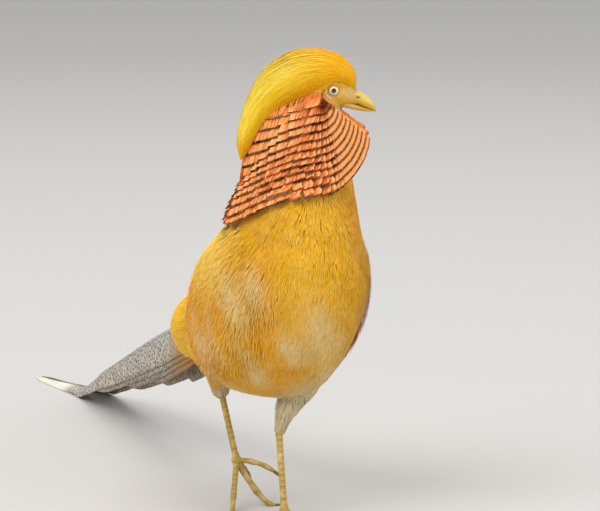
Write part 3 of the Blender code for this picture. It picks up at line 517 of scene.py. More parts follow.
# %% The feather material
def feather_material(name, roughness, sheen, contrast, grain=900.0, through=0.12):
    """A material that shows a piece's own tint. Returns it with its node tree and its shader."""
    made, tree, shader = plain_material(
        name, (1, 1, 1), roughness, Specular_IOR_Level=0.18, Sheen_Weight=sheen, Sheen_Roughness=0.45,
        Sheen_Tint=(1.0, 0.80, 0.35, 1), Subsurface_Weight=through, Subsurface_Radius=(1.0, 0.6, 0.3),
        Subsurface_Scale=0.002)
    own = add_node(tree, "Attribute")
    own.attribute_name = "tint"
    place = add_node(tree, "TexCoord")
    noise = add_node(tree, "TexNoise", Scale=grain, Detail=2.0)
    level = add_node(tree, "MapRange", To_Min=1 - contrast, To_Max=1 + contrast)
    mix = add_node(tree, "VectorMath")
    mix.operation = "SCALE"
    wire(tree, (place, "Object", noise, "Vector"), (noise, "Fac", level, "Value"),
         (own, "Color", mix, 0), (level, "Result", mix, "Scale"), (mix, "Vector", shader, "Base Color"))
    return made, tree, shader


SOFT_PLUME = feather_material("soft_plume", 0.62, 0.06, 0.12)[0]
SILK_PLUME = feather_material("silk_plume", 0.42, 0.05, 0.14, 700.0)[0]
FIRM_PLUME = feather_material("firm_plume", 0.55, 0.03, 0.18)[0]
print("feather materials ready")

# %% [markdown]
# On a real bird each small feather ends in loose barbs, so from a step away the breast looks like
# combed silk with soft streaks. Each feather here is a clump of fine strips that share one root and
# one colour, and that fan out toward the tips. Every strip is walked along the skin in a few steps:
# a step along the lie, back to the nearest skin, and out to its height.


# %% How plumes walk along the skin
def level_with(way, normals):
    """Turns directions until they lie flat on the skin."""
    return unit(way - normals * (way * normals).sum(1, keepdims=True))


def lie_of_coat(points, normals):
    """The way the body's plumes point: down the breast, and more and more back toward the tail."""
    along = points[:, 1]
    back = np.clip(0.42 + 5.5 * (along + 0.105), 0.22, 1.5)
    way = np.stack((0 * back, back, -1.0 + 0.25 * smooth_step(0.02, 0.08, along)), -1)
    return level_with(blend(way, (0, 1.0, 0), smooth_step(0.55, 0.95, -normals[:, 2])), normals)


def nearest_on_skin(points, tree=skin_tree):
    """For each point the nearest place on the skin and the direction out of it."""
    places = np.empty_like(points)
    normals = np.empty_like(points)
    for index, point in enumerate(points.tolist()):
        place, normal, _, _ = tree.find_nearest(point)
        places[index] = place
        normals[index] = normal
    return places, normals


def roots_on_skin(count, seed, wanted):
    """Points spread evenly over the part of the skin where wanted(points) is true."""
    draw = np.random.default_rng(seed)
    mesh = skin.data
    mesh.calc_loop_triangles()
    corner = np.empty(len(mesh.loop_triangles) * 3, np.int32)
    mesh.loop_triangles.foreach_get("vertices", corner)
    triangles = points_of(skin)[corner.reshape(-1, 3)]
    triangles = triangles[wanted(triangles.mean(1))]
    normals = np.cross(triangles[:, 1] - triangles[:, 0], triangles[:, 2] - triangles[:, 0])
    areas = np.linalg.norm(normals, axis=1)
    # Equal steps along the running total of the areas spread the roots with no bald spots.
    pick = np.searchsorted(np.cumsum(areas), (np.arange(count) + draw.random(count)) / count * areas.sum())
    pick = np.minimum(pick, len(areas) - 1)
    one, two = draw.random((2, count))
    flip = one + two > 1
    one[flip], two[flip] = 1 - one[flip], 1 - two[flip]
    corner_a, corner_b, corner_c = triangles[pick].transpose(1, 0, 2)
    roots = corner_a + (corner_b - corner_a) * one[:, None] + (corner_c - corner_a) * two[:, None]
    print("  area", round(areas.sum() / 2 * 1e4), "square centimetres,", count, "roots")
    return roots, unit(normals)[pick]


def unwrap_of_skin(points):
    """An even unwrap of the skin: the angle about the bird's long line, and the place along it."""
    along = points[:, 1] * 0.75 - points[:, 2]
    axis_height = 0.20 - 0.35 * points[:, 1]
    around = np.arctan2(points[:, 0], points[:, 2] - axis_height)
    return np.stack((0.5 + around / (2 * np.pi) * 0.98, 0.5 + along * 1.05), -1)


def walk_strips(roots, lie, length, height, steps, lie_field, sway):
    """Walks strips along the skin. Returns their middle lines and the directions out of the skin."""
    centre = np.empty((len(roots), steps + 1, 3))
    out = np.empty_like(centre)
    heading = lie.copy()
    foot, normal = nearest_on_skin(roots)
    for step in range(steps + 1):
        lift = height * (1 - (1 - step / steps) ** 1.7)
        # Only the root stands under the skin.
        centre[:, step] = foot + normal * (lift - 0.3 * MM * (step == 0))[:, None]
        out[:, step] = normal
        if step < steps:
            flat = heading - normal * (heading * normal).sum(1, keepdims=True)
            turn = np.cross(normal, flat) * sway[:, None]
            heading = unit(unit(flat) + 0.35 * lie_field(foot, normal) + turn)
            foot, normal = nearest_on_skin(foot + heading * (length / steps)[:, None])
    return centre, out


def frame_strips(centre, out):
    """The direction across each strip at every station."""
    return unit(np.cross(unit(np.gradient(centre, axis=1)), out))


# %% [markdown]
# The colour of the body. The breast is a warm golden yellow. Paler, silvery patches show where the
# feather tips lie loose, an orange flush runs along the flank, and the mantle fades to lemon. The
# skin under the coat wears the same colours, darker, as painted shade under the coat, so that no gap shows.

# %% Colours of the body
GOLD = srgb(232, 168, 10)
BRIGHT = srgb(236, 178, 12)
AMBER = srgb(234, 150, 10)
SILVER = srgb(234, 210, 150)
LEMON = srgb(252, 218, 96)
FLUSH = srgb(238, 142, 20)
SHOULDER_ORANGE = srgb(236, 128, 40)
BACK_YELLOW = srgb(238, 168, 0)
BELLY_CREAM = srgb(222, 204, 160)
VENT_CREAM = srgb(212, 192, 150)
BACK_BLACK = srgb(38, 32, 26)
# Soft silvery patches of the breast, as the camera sees them: across, height and half sizes.
PALE_PATCHES = ((-0.010, 0.217, 0.010, 0.020), (0.006, 0.229, 0.006, 0.012), (0.055, 0.198, 0.013, 0.020),
                (0.030, 0.179, 0.005, 0.012), (0.067, 0.153, 0.009, 0.018), (-0.035, 0.172, 0.008, 0.012),
                (0.002, 0.150, 0.008, 0.012))


def body_tint(points):
    """The colour of the body coat at a place, about the floor point under the body."""
    x, along, height = points.T
    drawn_out = points * (1.0, 1.0, 0.35)
    amber = 0.4 * smooth_step(0.1, 0.8, cloud(drawn_out, 0.045, 3)) * smooth_step(0.10, 0.15, height)
    silver = 0.45 * smooth_step(0.1, 0.7, cloud(drawn_out, 0.026, 8)) * smooth_step(0.245, 0.20, height)
    tint = wash(plain_tint(GOLD, points),
                (BRIGHT, 0.55 * smooth_step(0.17, 0.27, height) * smooth_step(0.02, -0.10, along)),
                (AMBER, amber), (SILVER, silver))
    tint = tint * (1 + 0.07 * cloud(points * (1.0, 1.0, 0.4), 0.011, 29))[:, None]
    across, in_front = points @ CAMERA_SIDE, points @ CAMERA_AHEAD < 0
    for middle, level, half_across, half_high in PALE_PATCHES:
        aside = (across - middle + 0.2 * (height - level)) / half_across
        away = aside ** 2 + ((height - level) / half_high) ** 2
        tint = blend(tint, SILVER, 0.8 * np.exp(-away) * in_front)
    belly = np.exp(-((across - 0.039 - 0.35 * (height - 0.109)) / 0.018) ** 2)
    flank = smooth_step(0.020, 0.034, np.abs(x)) * smooth_step(-0.085, -0.045, along)
    flush = flank * smooth_step(0.235, 0.20, height) * smooth_step(0.15, 0.175, height)
    orange = np.exp(-((along - 0.012) / 0.016) ** 2 - ((height - 0.208) / 0.022) ** 2)
    mantle = smooth_step(0.205, 0.235, height) * smooth_step(-0.090, -0.055, along)
    # A blackish, speckled patch is painted on the body just under the rear corner of the cape.
    forward, up, _ = head_place(points)
    corner = smooth_step(15, 8, np.hypot(forward + 86, up + 110))
    return wash(tint, (BELLY_CREAM, 0.85 * belly * smooth_step(0.160, 0.128, height) * in_front),
                (FLUSH, 0.25 * flush),
                (SHOULDER_ORANGE, 0.75 * orange * smooth_step(0.03, 0.045, np.abs(x))),
                (LEMON, 0.6 * mantle),
                (BACK_YELLOW, smooth_step(0.03, 0.07, along)),
                (VENT_CREAM, smooth_step(0.126, 0.108, height) * smooth_step(0.05, 0.03, along)),
                (BACK_BLACK, 0.9 * corner * (cloud(points, 0.006, 23) > -0.35)))


# %% [markdown]
# The skin's own finish is the down under the coat on the body, and bare or short-feathered on the
# face. It takes its colour the same way as the plumes, from a function of the place. Under the body
# coat, the crest, the cape and the thigh coat its colours are darker: painted shade under the feathers.

# %% The skin's finish
PALE_FACE = srgb(240, 204, 184)
LORE = srgb(236, 208, 146)
FACE_YELLOW = srgb(250, 196, 60)
# The skin under the crest, the cape and the thigh coat is painted darker than the feathers over it: painted
# shade.
SHADED_CROWN_SKIN = srgb(214, 150, 20)
SHADED_NAPE_SKIN = srgb(206, 96, 34)
SHADED_CAPE_SKIN = srgb(150, 62, 20)
SHADED_LEG_DOWN = srgb(206, 184, 148) * 0.7


def face_tint(points):
    """The bare face: pinkish below and behind the eye, paler before it, yellow under it."""
    forward, up, _ = head_place(points)
    return wash(plain_tint(FACE_YELLOW, points),
                (LORE, 0.6 * smooth_step(8, 11, forward) * smooth_step(-8, -4, up)),
                (PALE_FACE, smooth_step(-3, -6, up + 0.3 * forward) * smooth_step(4, 0, forward)),
                (PALE_FACE, smooth_step(-11, -14, up)))


forward, up, _ = head_place(skin_points)
skin_height = skin_points[:, 2]
on_head = smooth_step(0.350, 0.362, skin_height)
# The body's colours darkened by a fifth are painted shade under the coat.
skin_tint = wash(
    body_tint(skin_points) * 0.8, (face_tint(skin_points), on_head),
    (SHADED_CROWN_SKIN, on_head * smooth_step(3.5, 6.5, up - 0.25 * np.maximum(forward, 0))),
    (SHADED_NAPE_SKIN, on_head * smooth_step(-11, -16, forward) * smooth_step(9, 3, up)),
    (SHADED_CAPE_SKIN, smooth_step(0.272, 0.285, skin_height) * (1 - on_head)),
    (SHADED_LEG_DOWN, smooth_step(0.116, 0.106, skin_height)))
paint(skin, skin_tint)
skin_finish, tree, shader = feather_material("skin_and_down", 0.6, 0.1, 0.22, 1400.0)
bump = add_node(tree, "Bump", Strength=0.35, Distance=0.0006)
pores = add_node(tree, "TexVoronoi", Scale=900.0)
wire(tree, (add_node(tree, "TexCoord"), "Object", pores, "Vector"), (pores, "Distance", bump, "Height"),
     (bump, "Normal", shader, "Normal"))
skin.data.materials.clear()
dress(skin, skin_finish, "body_feathers", "torso", "rump", "neck", "head", "thigh_left", "thigh_right")
print("skin painted")

# %% [markdown]
# The body coat ends under the cape, and long plumes of the flank fall over the wing. So the forms
# of the cape and the wing are needed first, as two functions of the place.

# %% Where the cape and the wing lie
CAPE_FOCUS = (-10, -6)
CAPE_NAPE, CAPE_CORNER, CAPE_THROAT = -142.0, -123.0, -40.0


def cape_hem(angle):
    """How far the cape reaches from the cheek in a direction, longest at the rear corner."""
    share = (CAPE_THROAT - angle) / (CAPE_THROAT - CAPE_CORNER)
    front = 54 + 52 * share + 33 * np.exp(-(1 - np.minimum(share, 1)) / 0.12)
    return np.where(angle < CAPE_CORNER, 139 - 3.0 * (CAPE_CORNER - angle), front)


def cape_reach(points):
    """How far down the cape a place lies: 0 at the cheek, 1 at the hem, more below it."""
    forward, up, _ = head_place(points)
    angle = np.degrees(np.arctan2(up - CAPE_FOCUS[1], forward - CAPE_FOCUS[0]))
    angle = np.where(angle > 60, angle - 360, angle)
    angle = np.clip(angle, CAPE_NAPE - 24, CAPE_THROAT)
    return np.hypot(forward - CAPE_FOCUS[0], up - CAPE_FOCUS[1]) / cape_hem(angle)


# The folded wing from its bend to its tip: along and height of its upper and lower edge.
WING_UPPER_EDGE = ((-0.092, 0.222), (-0.080, 0.240), (-0.045, 0.243), (-0.005, 0.230), (0.030, 0.210),
                   (0.058, 0.190), (0.080, 0.168))
WING_LOWER_EDGE = ((-0.094, 0.214), (-0.088, 0.186), (-0.055, 0.166), (-0.015, 0.153), (0.025, 0.145),
                   (0.058, 0.143), (0.080, 0.156))


def over_wing(along, height):
    """How fully a place lies over the wing, falling off softly far round its edges."""
    upper = np.interp(along, *np.transpose(WING_UPPER_EDGE))
    lower = np.interp(along, *np.transpose(WING_LOWER_EDGE))
    inside = smooth_step(-0.134, -0.080, along) * smooth_step(upper + 0.032, upper - 0.010, height)
    return inside * smooth_step(lower - 0.040, lower + 0.006, height) * smooth_step(0.10, 0.05, along)


# %% [markdown]
# The body coat is laid in four pieces, breast and flank on each side. A look is a small table of
# measures: how wide a clump is, how it fans out, how long and how high its strips are, and its
# colours. The flank, the face and the thighs use the same routine with looks of their own.

# %% The body coat
DENSITY = 1.0
BREAST_REAR = -0.045


def on_body(points):
    """The body from the belly up to the cape, and back to the tail's root."""
    along, height = points[:, 1], points[:, 2]
    return (height > 0.124) & (height < 0.345) & (along < 0.085) & (cape_reach(points) > 0.72)


def quarter(is_breast, is_left):
    """Picks one of the four pieces of the body coat."""
    return lambda points: (on_body(points) & ((points[:, 1] < BREAST_REAR) == is_breast)
                           & ((points[:, 0] >= 0) == is_left))


def clumped_coat(name, clumps, strips_each, seed, wanted, look, slot="body_feathers"):
    """Fine strips in clumps. look holds the measures of the coat in one place."""
    draw = np.random.default_rng(seed)
    roots, normals = roots_on_skin(clumps, seed, wanted)
    lie = look["lie"](roots, normals)
    side = unit(np.cross(lie, normals))
    count = clumps * strips_each
    clump = np.repeat(np.arange(clumps), strips_each)
    spread = np.tile(np.linspace(-1, 1, strips_each), clumps) + draw.normal(0, 0.12, count)
    shift = draw.normal(0, 0.35, (count, 1)) * look["half_clump"] * lie[clump]
    start = roots[clump] + side[clump] * (spread * look["half_clump"])[:, None] + shift
    fan = spread * look["fan"] + draw.normal(0, 0.07, count)
    stray = draw.normal(0, look["stray"], clumps)[clump]
    heading = unit(lie[clump] + side[clump] * fan[:, None] + side[clump] * stray[:, None])
    length = look["length"](start) * draw.uniform(0.78, 1.12, count) * (1 - 0.16 * spread ** 2)
    height = look["height"](start) * draw.uniform(0.94, 1.04, count)
    centre, out = walk_strips(start, heading, length, height, look["steps"], look["lie"],
                              draw.normal(0, 0.05, count))
    share = np.linspace(0, 1, look["steps"] + 1)
    taper = np.interp(share, (0, 0.35, 0.75, 1), (0.75, 1.0, 0.8, 0.22))
    half = look["half_width"] * draw.uniform(0.8, 1.25, (count, 1)) * taper
    base = look["tint"](roots)[clump] * draw.uniform(0.95, 1.05, clumps)[clump][:, None]
    base = base * draw.uniform(0.95, 1.05, (count, 1))
    tint = base[:, None] * (0.95 + 0.07 * share)[None, :, None]
    pale = (draw.random(clumps) ** 2)[clump][:, None]
    tint = blend(tint, look["tip"], smooth_step(0.55, 1.0, share)[None, :] * pale * look["tip_share"])
    strips(name, centre, frame_strips(centre, out), out, half, half * 0.35, (-1, 1),
           unwrap_of_skin(start), tint, slot, SOFT_PLUME)


body_look = {
    "lie": lie_of_coat, "half_clump": 3.0 * MM, "fan": 0.09, "stray": 0.03, "steps": 4,
    "length": lambda points: (19 + 11 * smooth_step(0.27, 0.18, points[:, 2])) * MM,
    "height": lambda points: np.full(len(points), 4.6 * MM),
    "half_width": 0.42 * MM, "tint": body_tint, "tip": srgb(250, 222, 140), "tip_share": 0.45}
COAT_PIECES = (("breast_coat_left", True, True), ("breast_coat_right", True, False),
               ("flank_coat_left", False, True), ("flank_coat_right", False, False))
for seed, (name, is_breast, is_left) in enumerate(COAT_PIECES, 11):
    clumped_coat(name, int(1900 * DENSITY), 9, seed, quarter(is_breast, is_left), body_look)

# %% [markdown]
# The cape is a fan of square-tipped feathers that opens from the cheek. Each feather is orange and
# ends in one blue-black bar, and all feathers of a row end on the same curve. So nobody paints the
# nested bars: they appear by themselves once the rows are laid, which is how the bird makes them.

# %% The cape's outer form
CAPE_KNEE = 0.284
# The cape's rear edge from the cheek down to its corner: forward and up from its focus, in mm.
CAPE_REAR = ((-60.0, -15.0), (-66.0, -43.0), (-71.0, -72.7), (-71.7, -93.7), (-75.7, -116.6))
CAPE_OFF_FLESH = 4.2
flesh_rings = [flesh_point(circle(48), np.full(48, height)) for height in np.linspace(0.112, 0.376, 60)]
flesh_tree = search_tree(*loft(flesh_rings))


def cape_point(side, share, reach, lift):
    """A place on the cape: share runs from nape to throat, reach from cheek to hem, lift in mm."""
    share, reach = np.broadcast_arrays(np.asarray(share, float), np.asarray(reach, float))
    angle = CAPE_NAPE + (CAPE_THROAT - CAPE_NAPE) * np.maximum(share, CAPE_KNEE)
    far = cape_hem(angle) * reach
    front = np.stack((far * np.cos(np.radians(angle)), far * np.sin(np.radians(angle))), -1)
    # Behind the knee each row runs straight on to the rear edge, so the bars stay nested there too.
    flat = blend(front, read_rows(CAPE_REAR, reach), np.clip(1 - share / CAPE_KNEE, 0, 1))
    far = np.hypot(flat[..., 0], flat[..., 1])
    swell = np.sin(np.pi * 0.68 * np.maximum(share, 0)) ** 0.7
    out = (19 + 0.34 * far) * swell + lift
    return in_head(CAPE_FOCUS[0] + flat[..., 0], CAPE_FOCUS[1] + flat[..., 1], side * out - 5.0 * far / 120)


def clear_of_flesh(points, least):
    """Pushes points out until they stand at least this far off the flesh."""
    flat = points.reshape(-1, 3)
    least = np.broadcast_to(least, points.shape[:-1]).ravel()
    foot, normal = nearest_on_skin(flat, flesh_tree)
    low = ((flat - foot) * normal).sum(1) < least
    return np.where(low[:, None], foot + normal * least[:, None], flat).reshape(points.shape)


print("flesh rings", len(flesh_rings))

# %% [markdown]
# The rows are laid from the hem inward, each on top of the one below it. The same list of feathers
# is used twice: for the broad squares with their bars, and for the loose barbs that run along them
# and break up their tips.

# %% The cape's feathers
CAPE_ROWS = 12
CAPE_STEP = 0.083
CAPE_ORANGE = srgb(255, 166, 92)
CAPE_DEEP = srgb(255, 142, 62)
CAPE_PALE = srgb(255, 190, 124)
CAPE_BARB = srgb(255, 180, 108)
CAPE_BAR = srgb(36, 16, 10)


def cape_rows(seed):
    """Every feather's share, tip, length, half width and lift, row by row from the hem inward."""
    draw = np.random.default_rng(seed)
    rows = []
    for row in range(CAPE_ROWS):
        tip = 1.0 - CAPE_STEP * row
        count = int(round(16 + 12 * tip))
        number = np.arange(count)
        place = (number + 0.5 * (row % 2) + 0.25 + draw.uniform(-0.12, 0.12, count)) / count
        length = 0.25 if row < CAPE_ROWS - 2 else tip - 0.02
        lift = 0.6 * row / CAPE_ROWS + 0.4 + 0.05 * (number % 2)
        rows.append((place * 1.03 - 0.02, tip + draw.normal(0, 0.0014, count), np.full(count, length),
                     np.full(count, 0.66 / count), lift))
    return [np.concatenate(values) for values in zip(*rows)]


def cape_side(name, side, seed):
    """The cape's broad feathers on one side of the neck."""
    share, tip, length, width, lift = cape_rows(seed)
    stations = np.array((0, 0.3, 0.55, 0.72, 0.82, 0.905, 0.925, 0.96, 1.0))
    reach = tip[:, None] - length[:, None] * (1 - stations)
    height = lift[:, None] * 1.6 - 5.5 * (1 - stations) ** 1.5 + 0.9 * stations ** 3
    narrow = width[:, None] * np.interp(stations, (0, 0.4, 0.9, 1), (0.55, 1.0, 1.0, 0.96))
    left = cape_point(side, share[:, None] - narrow, reach, height)
    right = cape_point(side, share[:, None] + narrow, reach, height)
    middle = cape_point(side, share[:, None] + 0 * narrow, reach, height)
    middle = clear_of_flesh(middle, (CAPE_OFF_FLESH + height) * MM)
    half = np.linalg.norm(right - left, axis=-1) / 2
    across = unit(right - left)
    out = unit(np.cross(across, unit(np.gradient(middle, axis=1)))) * side
    draw = np.random.default_rng(seed + 1)
    body = blend(plain_tint(CAPE_DEEP, share), CAPE_ORANGE, draw.uniform(0.55, 1.0, len(share)))
    paler = np.interp(stations, (0, 0.55, 0.78, 1), (0.0, 0.15, 0.45, 0.3))
    bar = np.interp(stations, (0, 0.905, 0.925, 1.0), (0, 0, 1, 1))
    strength = np.clip(draw.normal(0.94, 0.08, len(share)), 0.6, 1)
    tint = wash(np.repeat(body[:, None], len(stations), 1), (CAPE_PALE, paler[None] + 0 * share[:, None]),
                (CAPE_BAR, bar[None] * strength[:, None]))
    spot = np.stack((0.5 + side * 0.48 * share, 0.02 + 0.96 * tip), -1)
    strips(name, middle, across, out, half, half * 0.10, (-1, -0.5, 0, 0.5, 1), spot, tint,
           "cape_feathers", FIRM_PLUME)


def cape_fringe(name, side, seed, each):
    """Loose barbs along the cape's feathers: fine strips that break up the square tips."""
    share, tip, _, width, lift = cape_rows(seed)
    draw = np.random.default_rng(seed + 2)
    count = len(share) * each
    which = np.repeat(np.arange(len(share)), each)
    place = share[which] + width[which] * draw.uniform(-1, 1, count)
    end = tip[which] + draw.uniform(-0.010, 0.006, count)
    stations = np.array((0, 0.4, 0.7, 0.80, 0.86, 1.0))
    reach = end[:, None] - (0.15 * (1 - stations))[None]
    height = lift[which][:, None] * 1.6 + 0.2 - 2.2 * (1 - stations) ** 1.5 + 0.9 * stations ** 3
    aside = place[:, None] + draw.normal(0, 0.006, count)[:, None] * stations
    middle = clear_of_flesh(cape_point(side, aside, reach, height), (CAPE_OFF_FLESH + height) * MM)
    ahead = unit(np.gradient(middle, axis=1))
    beside = cape_point(side, aside + 0.01, reach, height)
    out = unit(np.cross(unit(beside - middle), ahead)) * side
    across = unit(np.cross(out, ahead))
    taper = np.interp(stations, (0, 0.7, 1), (0.6, 1.0, 0.35))
    half = 0.40 * MM * taper * draw.uniform(0.7, 1.2, (count, 1))
    body = blend(plain_tint(CAPE_DEEP, place), CAPE_BARB, draw.uniform(0.3, 1, count))
    beyond = (reach - (tip[which] - 0.0205 + draw.normal(0, 0.0015, count))[:, None]) / 0.006
    tint = blend(np.repeat(body[:, None], len(stations), 1), CAPE_BAR, 0.95 * smooth_step(0, 1, beyond))
    spot = np.stack((0.5 + side * 0.48 * place, 0.02 + 0.96 * end), -1)
    strips(name, middle, across, out, half, half * 0.2, (-1, 1), spot, tint, "cape_feathers", SOFT_PLUME)


for name, side, seed in (("right", 1, 21), ("left", -1, 31)):
    cape_side("cape_" + name, side, seed)
    cape_fringe("cape_fringe_" + name, side, seed, 12)

# %% [markdown]
# The crest is a mane of hair-like feathers that starts at the bill's root, sweeps over the crown
# and hangs behind the nape. Its form is a bent tube. Strips run along the tube: each starts inside,
# comes up to the surface and ends a little farther back, and thousands of them read as silk.

# %% The crest
CREST_OUTER = ((20, 3), (19, 16), (8, 29), (-13, 36), (-39, 33), (-63, 16), (-76, -8), (-83, -31),
               (-85, -48), (-82, -62))
CREST_INNER = ((16, -3), (11, 1), (1, 2), (-10, -4), (-23, -12), (-40, -17), (-55, -25), (-67, -39),
               (-74, -53), (-81, -62))
CREST_HALF_WIDTH = ((6,), (12,), (16.5,), (18,), (17,), (15,), (13,), (10.5,), (7,), (2,))
# How far round the tube the strips reach, in degrees from its ridge, at places along the crest.
CREST_SPREAD = ((0, 0.15, 0.25, 0.45, 0.7, 1.0), (108, 124, 128, 136, 160, 180))
CREST_DEEP = srgb(250, 182, 8)
CREST_BRIGHT = srgb(255, 216, 40)
CREST_STREAK_AND_HIGHLIGHT = srgb(255, 240, 120)
CREST_TIP = srgb(240, 168, 0)
CREST_SHADE = srgb(250, 172, 4)


def crest_point(place, angle, out):
    """A place on the crest: along it from 0 to 1, round it from its ridge, and out from its middle."""
    outer, inner = read_rows(CREST_OUTER, place), read_rows(CREST_INNER, place)
    width = read_rows(CREST_HALF_WIDTH, place)[..., 0]
    level = (outer + inner) / 2 + (outer - inner) / 2 * (out * np.cos(angle))[..., None]
    return in_head(level[..., 0], level[..., 1], width * out * np.sin(angle))


def crest_strips(name, count, seed, last_root, out_low, out_high):
    """Hair-like strips along the crest, each at its own level between two depths of the tube."""
    draw = np.random.default_rng(seed)
    start = draw.uniform(0.0, last_root, count)
    span = draw.uniform(0.22, 0.40, count)
    end = np.minimum(start + span, 1.0 - draw.random(count) ** 2 * 0.05)
    angle = np.radians(draw.uniform(-1, 1, count) * np.interp((start + end) / 2, *CREST_SPREAD))
    steps = np.linspace(0, 1, 7)
    place = start[:, None] + (end - start)[:, None] * steps
    out = draw.uniform(out_low, out_high, count)[:, None] - 0.30 * (1 - steps) ** 2.2
    sway = draw.normal(0, 0.11, count)[:, None] * steps ** 1.5
    sway = sway + 0.02 * np.sin(9 * place + draw.uniform(0, 6, (count, 1)))
    turned = angle[:, None] * (1 - 0.10 * smooth_step(0.55, 1.0, place)) + sway
    centre = crest_point(place, turned, out)
    away = unit(crest_point(place, turned, out + 0.1) - centre)
    taper = np.interp(steps, (0, 0.3, 0.8, 1), (0.6, 1, 0.8, 0.2))
    half = 0.42 * MM * draw.uniform(0.7, 1.3, (count, 1)) * taper
    rear = smooth_step(0.25, 0.55, place) * smooth_step(1.0, 0.72, place)
    top = np.cos(turned)
    streak = np.clip(draw.normal(0.30, 0.38, (count, 1)), 0, 1)
    # Pale streaks of single strips show only on the top of the rear crest, so they are real streaks and a
    # painted highlight; CREST_SHADE is painted shade on the underside.
    tint = wash(np.tile(CREST_DEEP, place.shape + (1,)), (CREST_BRIGHT, 0.85 * rear),
                (CREST_STREAK_AND_HIGHLIGHT, streak * rear * smooth_step(-0.2, 0.7, top)),
                (CREST_TIP, smooth_step(0.78, 1.0, place)),
                (CREST_SHADE, 0.5 * smooth_step(0.1, -0.6, top)))
    tint = tint * draw.uniform(0.86, 1.1, (count, 1))[..., None]
    spot = np.stack((0.5 + angle / (2 * np.pi) * 0.96, 0.02 + 0.94 * start), -1)
    strips(name, centre, frame_strips(centre, away), away, half, half * 0.3, (-1, 1), spot, tint,
           "crest_feathers", SILK_PLUME)


core_places = np.linspace(0.03, 0.97, 40)
core_rings = [crest_point(np.full(28, place), circle(28), np.full(28, 0.86)) for place in core_places]
crest_core = mesh_piece("crest_core", *loft(core_rings))
core_place = np.concatenate((np.repeat(core_places, 28), (core_places[0], core_places[-1])))
core_rear = smooth_step(0.2, 0.5, core_place) * smooth_step(1, 0.7, core_place)
# The core is painted a deeper orange than the strips over it: painted shade inside the crest.
paint(crest_core, blend(plain_tint(srgb(206, 140, 10), core_place), srgb(214, 172, 40), core_rear))
dress(crest_core, SILK_PLUME, "crest_feathers")
crest_strips("crest_under", int(5200 * DENSITY), 41, 0.70, 0.86, 0.98)
crest_strips("crest_top", int(7200 * DENSITY), 42, 0.66, 0.96, 1.06)

# %% [markdown]
# The face is covered with feathers only a few millimetres long. They leave a bare patch round and
# below the eye and grow denser under the crest and on the chin. Short plumes are cheap, so there
# are many of them: the face is where a viewer looks first.


# %% The face's short plumes
def lie_of_face(points, normals):
    """Face feathers lie back from the bill, and down a little behind the eye."""
    forward, up, right = head_place(points)
    drop = 2.5 + 2.0 * smooth_step(5, -8, forward)
    return level_with(in_head(forward - 12, up - drop, right) - in_head(forward, up, right), normals)


def on_face(points):
    """The head before the cape, without the bare skin round and below the eye."""
    forward, up, right = head_place(points)
    strip = (np.abs((up + 9.5) + 0.75 * (forward + 5)) < 2.6) & (forward > -12) & (forward < 4)
    bare = (np.hypot(forward, up) < 7.0) | strip
    return (points[:, 2] > 0.345) & (forward > -16) & ~(bare & (np.abs(right) > 4))


def face_plume_tint(points):
    forward, up, _ = head_place(points)
    return wash(plain_tint(srgb(252, 196, 52), points),
                (srgb(232, 198, 166), smooth_step(-12, -16, up)),
                (LORE, 0.6 * smooth_step(8, 11, forward) * smooth_step(-8, -4, up)),
                (PALE_FACE, smooth_step(-3, -7, forward) * smooth_step(-4, -8, up)),
                (srgb(250, 186, 10), smooth_step(2.5, 5.0, up + 0.12 * np.abs(forward))))


def brow(points):
    """Rises from 0 at the eye to 1 under the crest."""
    return smooth_step(3, 8, head_place(points)[1])


face_look = {
    "lie": lie_of_face, "half_clump": 0.9 * MM, "fan": 0.25, "stray": 0.12, "steps": 3,
    "length": lambda points: (4.2 + 7.0 * brow(points)) * MM,
    "height": lambda points: (1.1 + 1.2 * brow(points)) * MM,
    "half_width": 0.21 * MM, "tint": face_plume_tint, "tip": srgb(250, 224, 150), "tip_share": 0.5}
clumped_coat("face_coat", int(2700 * DENSITY), 7, 51, on_face, face_look, "crest_feathers")

# %% [markdown]
# An eye is a ball with a clear, wet front. The iris and the pupil are rings round the axis that
# the ball looks along, so one material with a few rings of colour paints them. A thin rim of bare
# skin, built as a ring that leans on the ball, stands in for the two lids.

# %% Eyes and lids
# Each ring of the lid: distance from the eye's middle, place out to the side, and how bright it is.
# The rings next to the ball are darker: painted shade in the crease between lid and eye.
LID_ROWS = ((4.75, 2.6, 0.35), (4.85, 3.15, 0.55), (5.1, 3.45, 0.8), (5.5, 3.4, 0.95), (6.0, 2.9, 1.0),
            (6.8, 2.2, 1.0), (7.5, 1.0, 0.95))
LID_SIDES = 72


def ball(side, radius, rings=44, sides=64):
    """An eyeball whose poles lie on the head's sideways axis, so that its rings run round the pupil."""
    turn = circle(sides)
    levels = [in_head(radius * np.sin(bend) * np.cos(turn), radius * np.sin(bend) * np.sin(turn),
                      side * EYE_SIDE + radius * np.cos(bend) * np.ones(sides))
              for bend in np.linspace(0, np.pi, rings + 1)[1:-1]]
    points, faces = loft(levels)
    points[-2] = in_head(0, 0, side * EYE_SIDE + radius)
    points[-1] = in_head(0, 0, side * EYE_SIDE - radius)
    return points, faces


def eye_tint(points):
    """Pupil, pale iris with a darker rim, then a dark edge that the lids cover: painted shade under the
    lids.
    """
    forward, up, _ = head_place(points)
    off = np.hypot(forward, up)
    return wash(plain_tint(srgb(242, 224, 170), points), (srgb(206, 160, 84), smooth_step(3.4, 4.4, off)),
                (srgb(230, 200, 140), smooth_step(2.8, 2.2, off)),
                (srgb(8, 6, 6), smooth_step(2.2, 1.95, off)),
                (srgb(60, 34, 20), smooth_step(4.9, 5.3, off)))


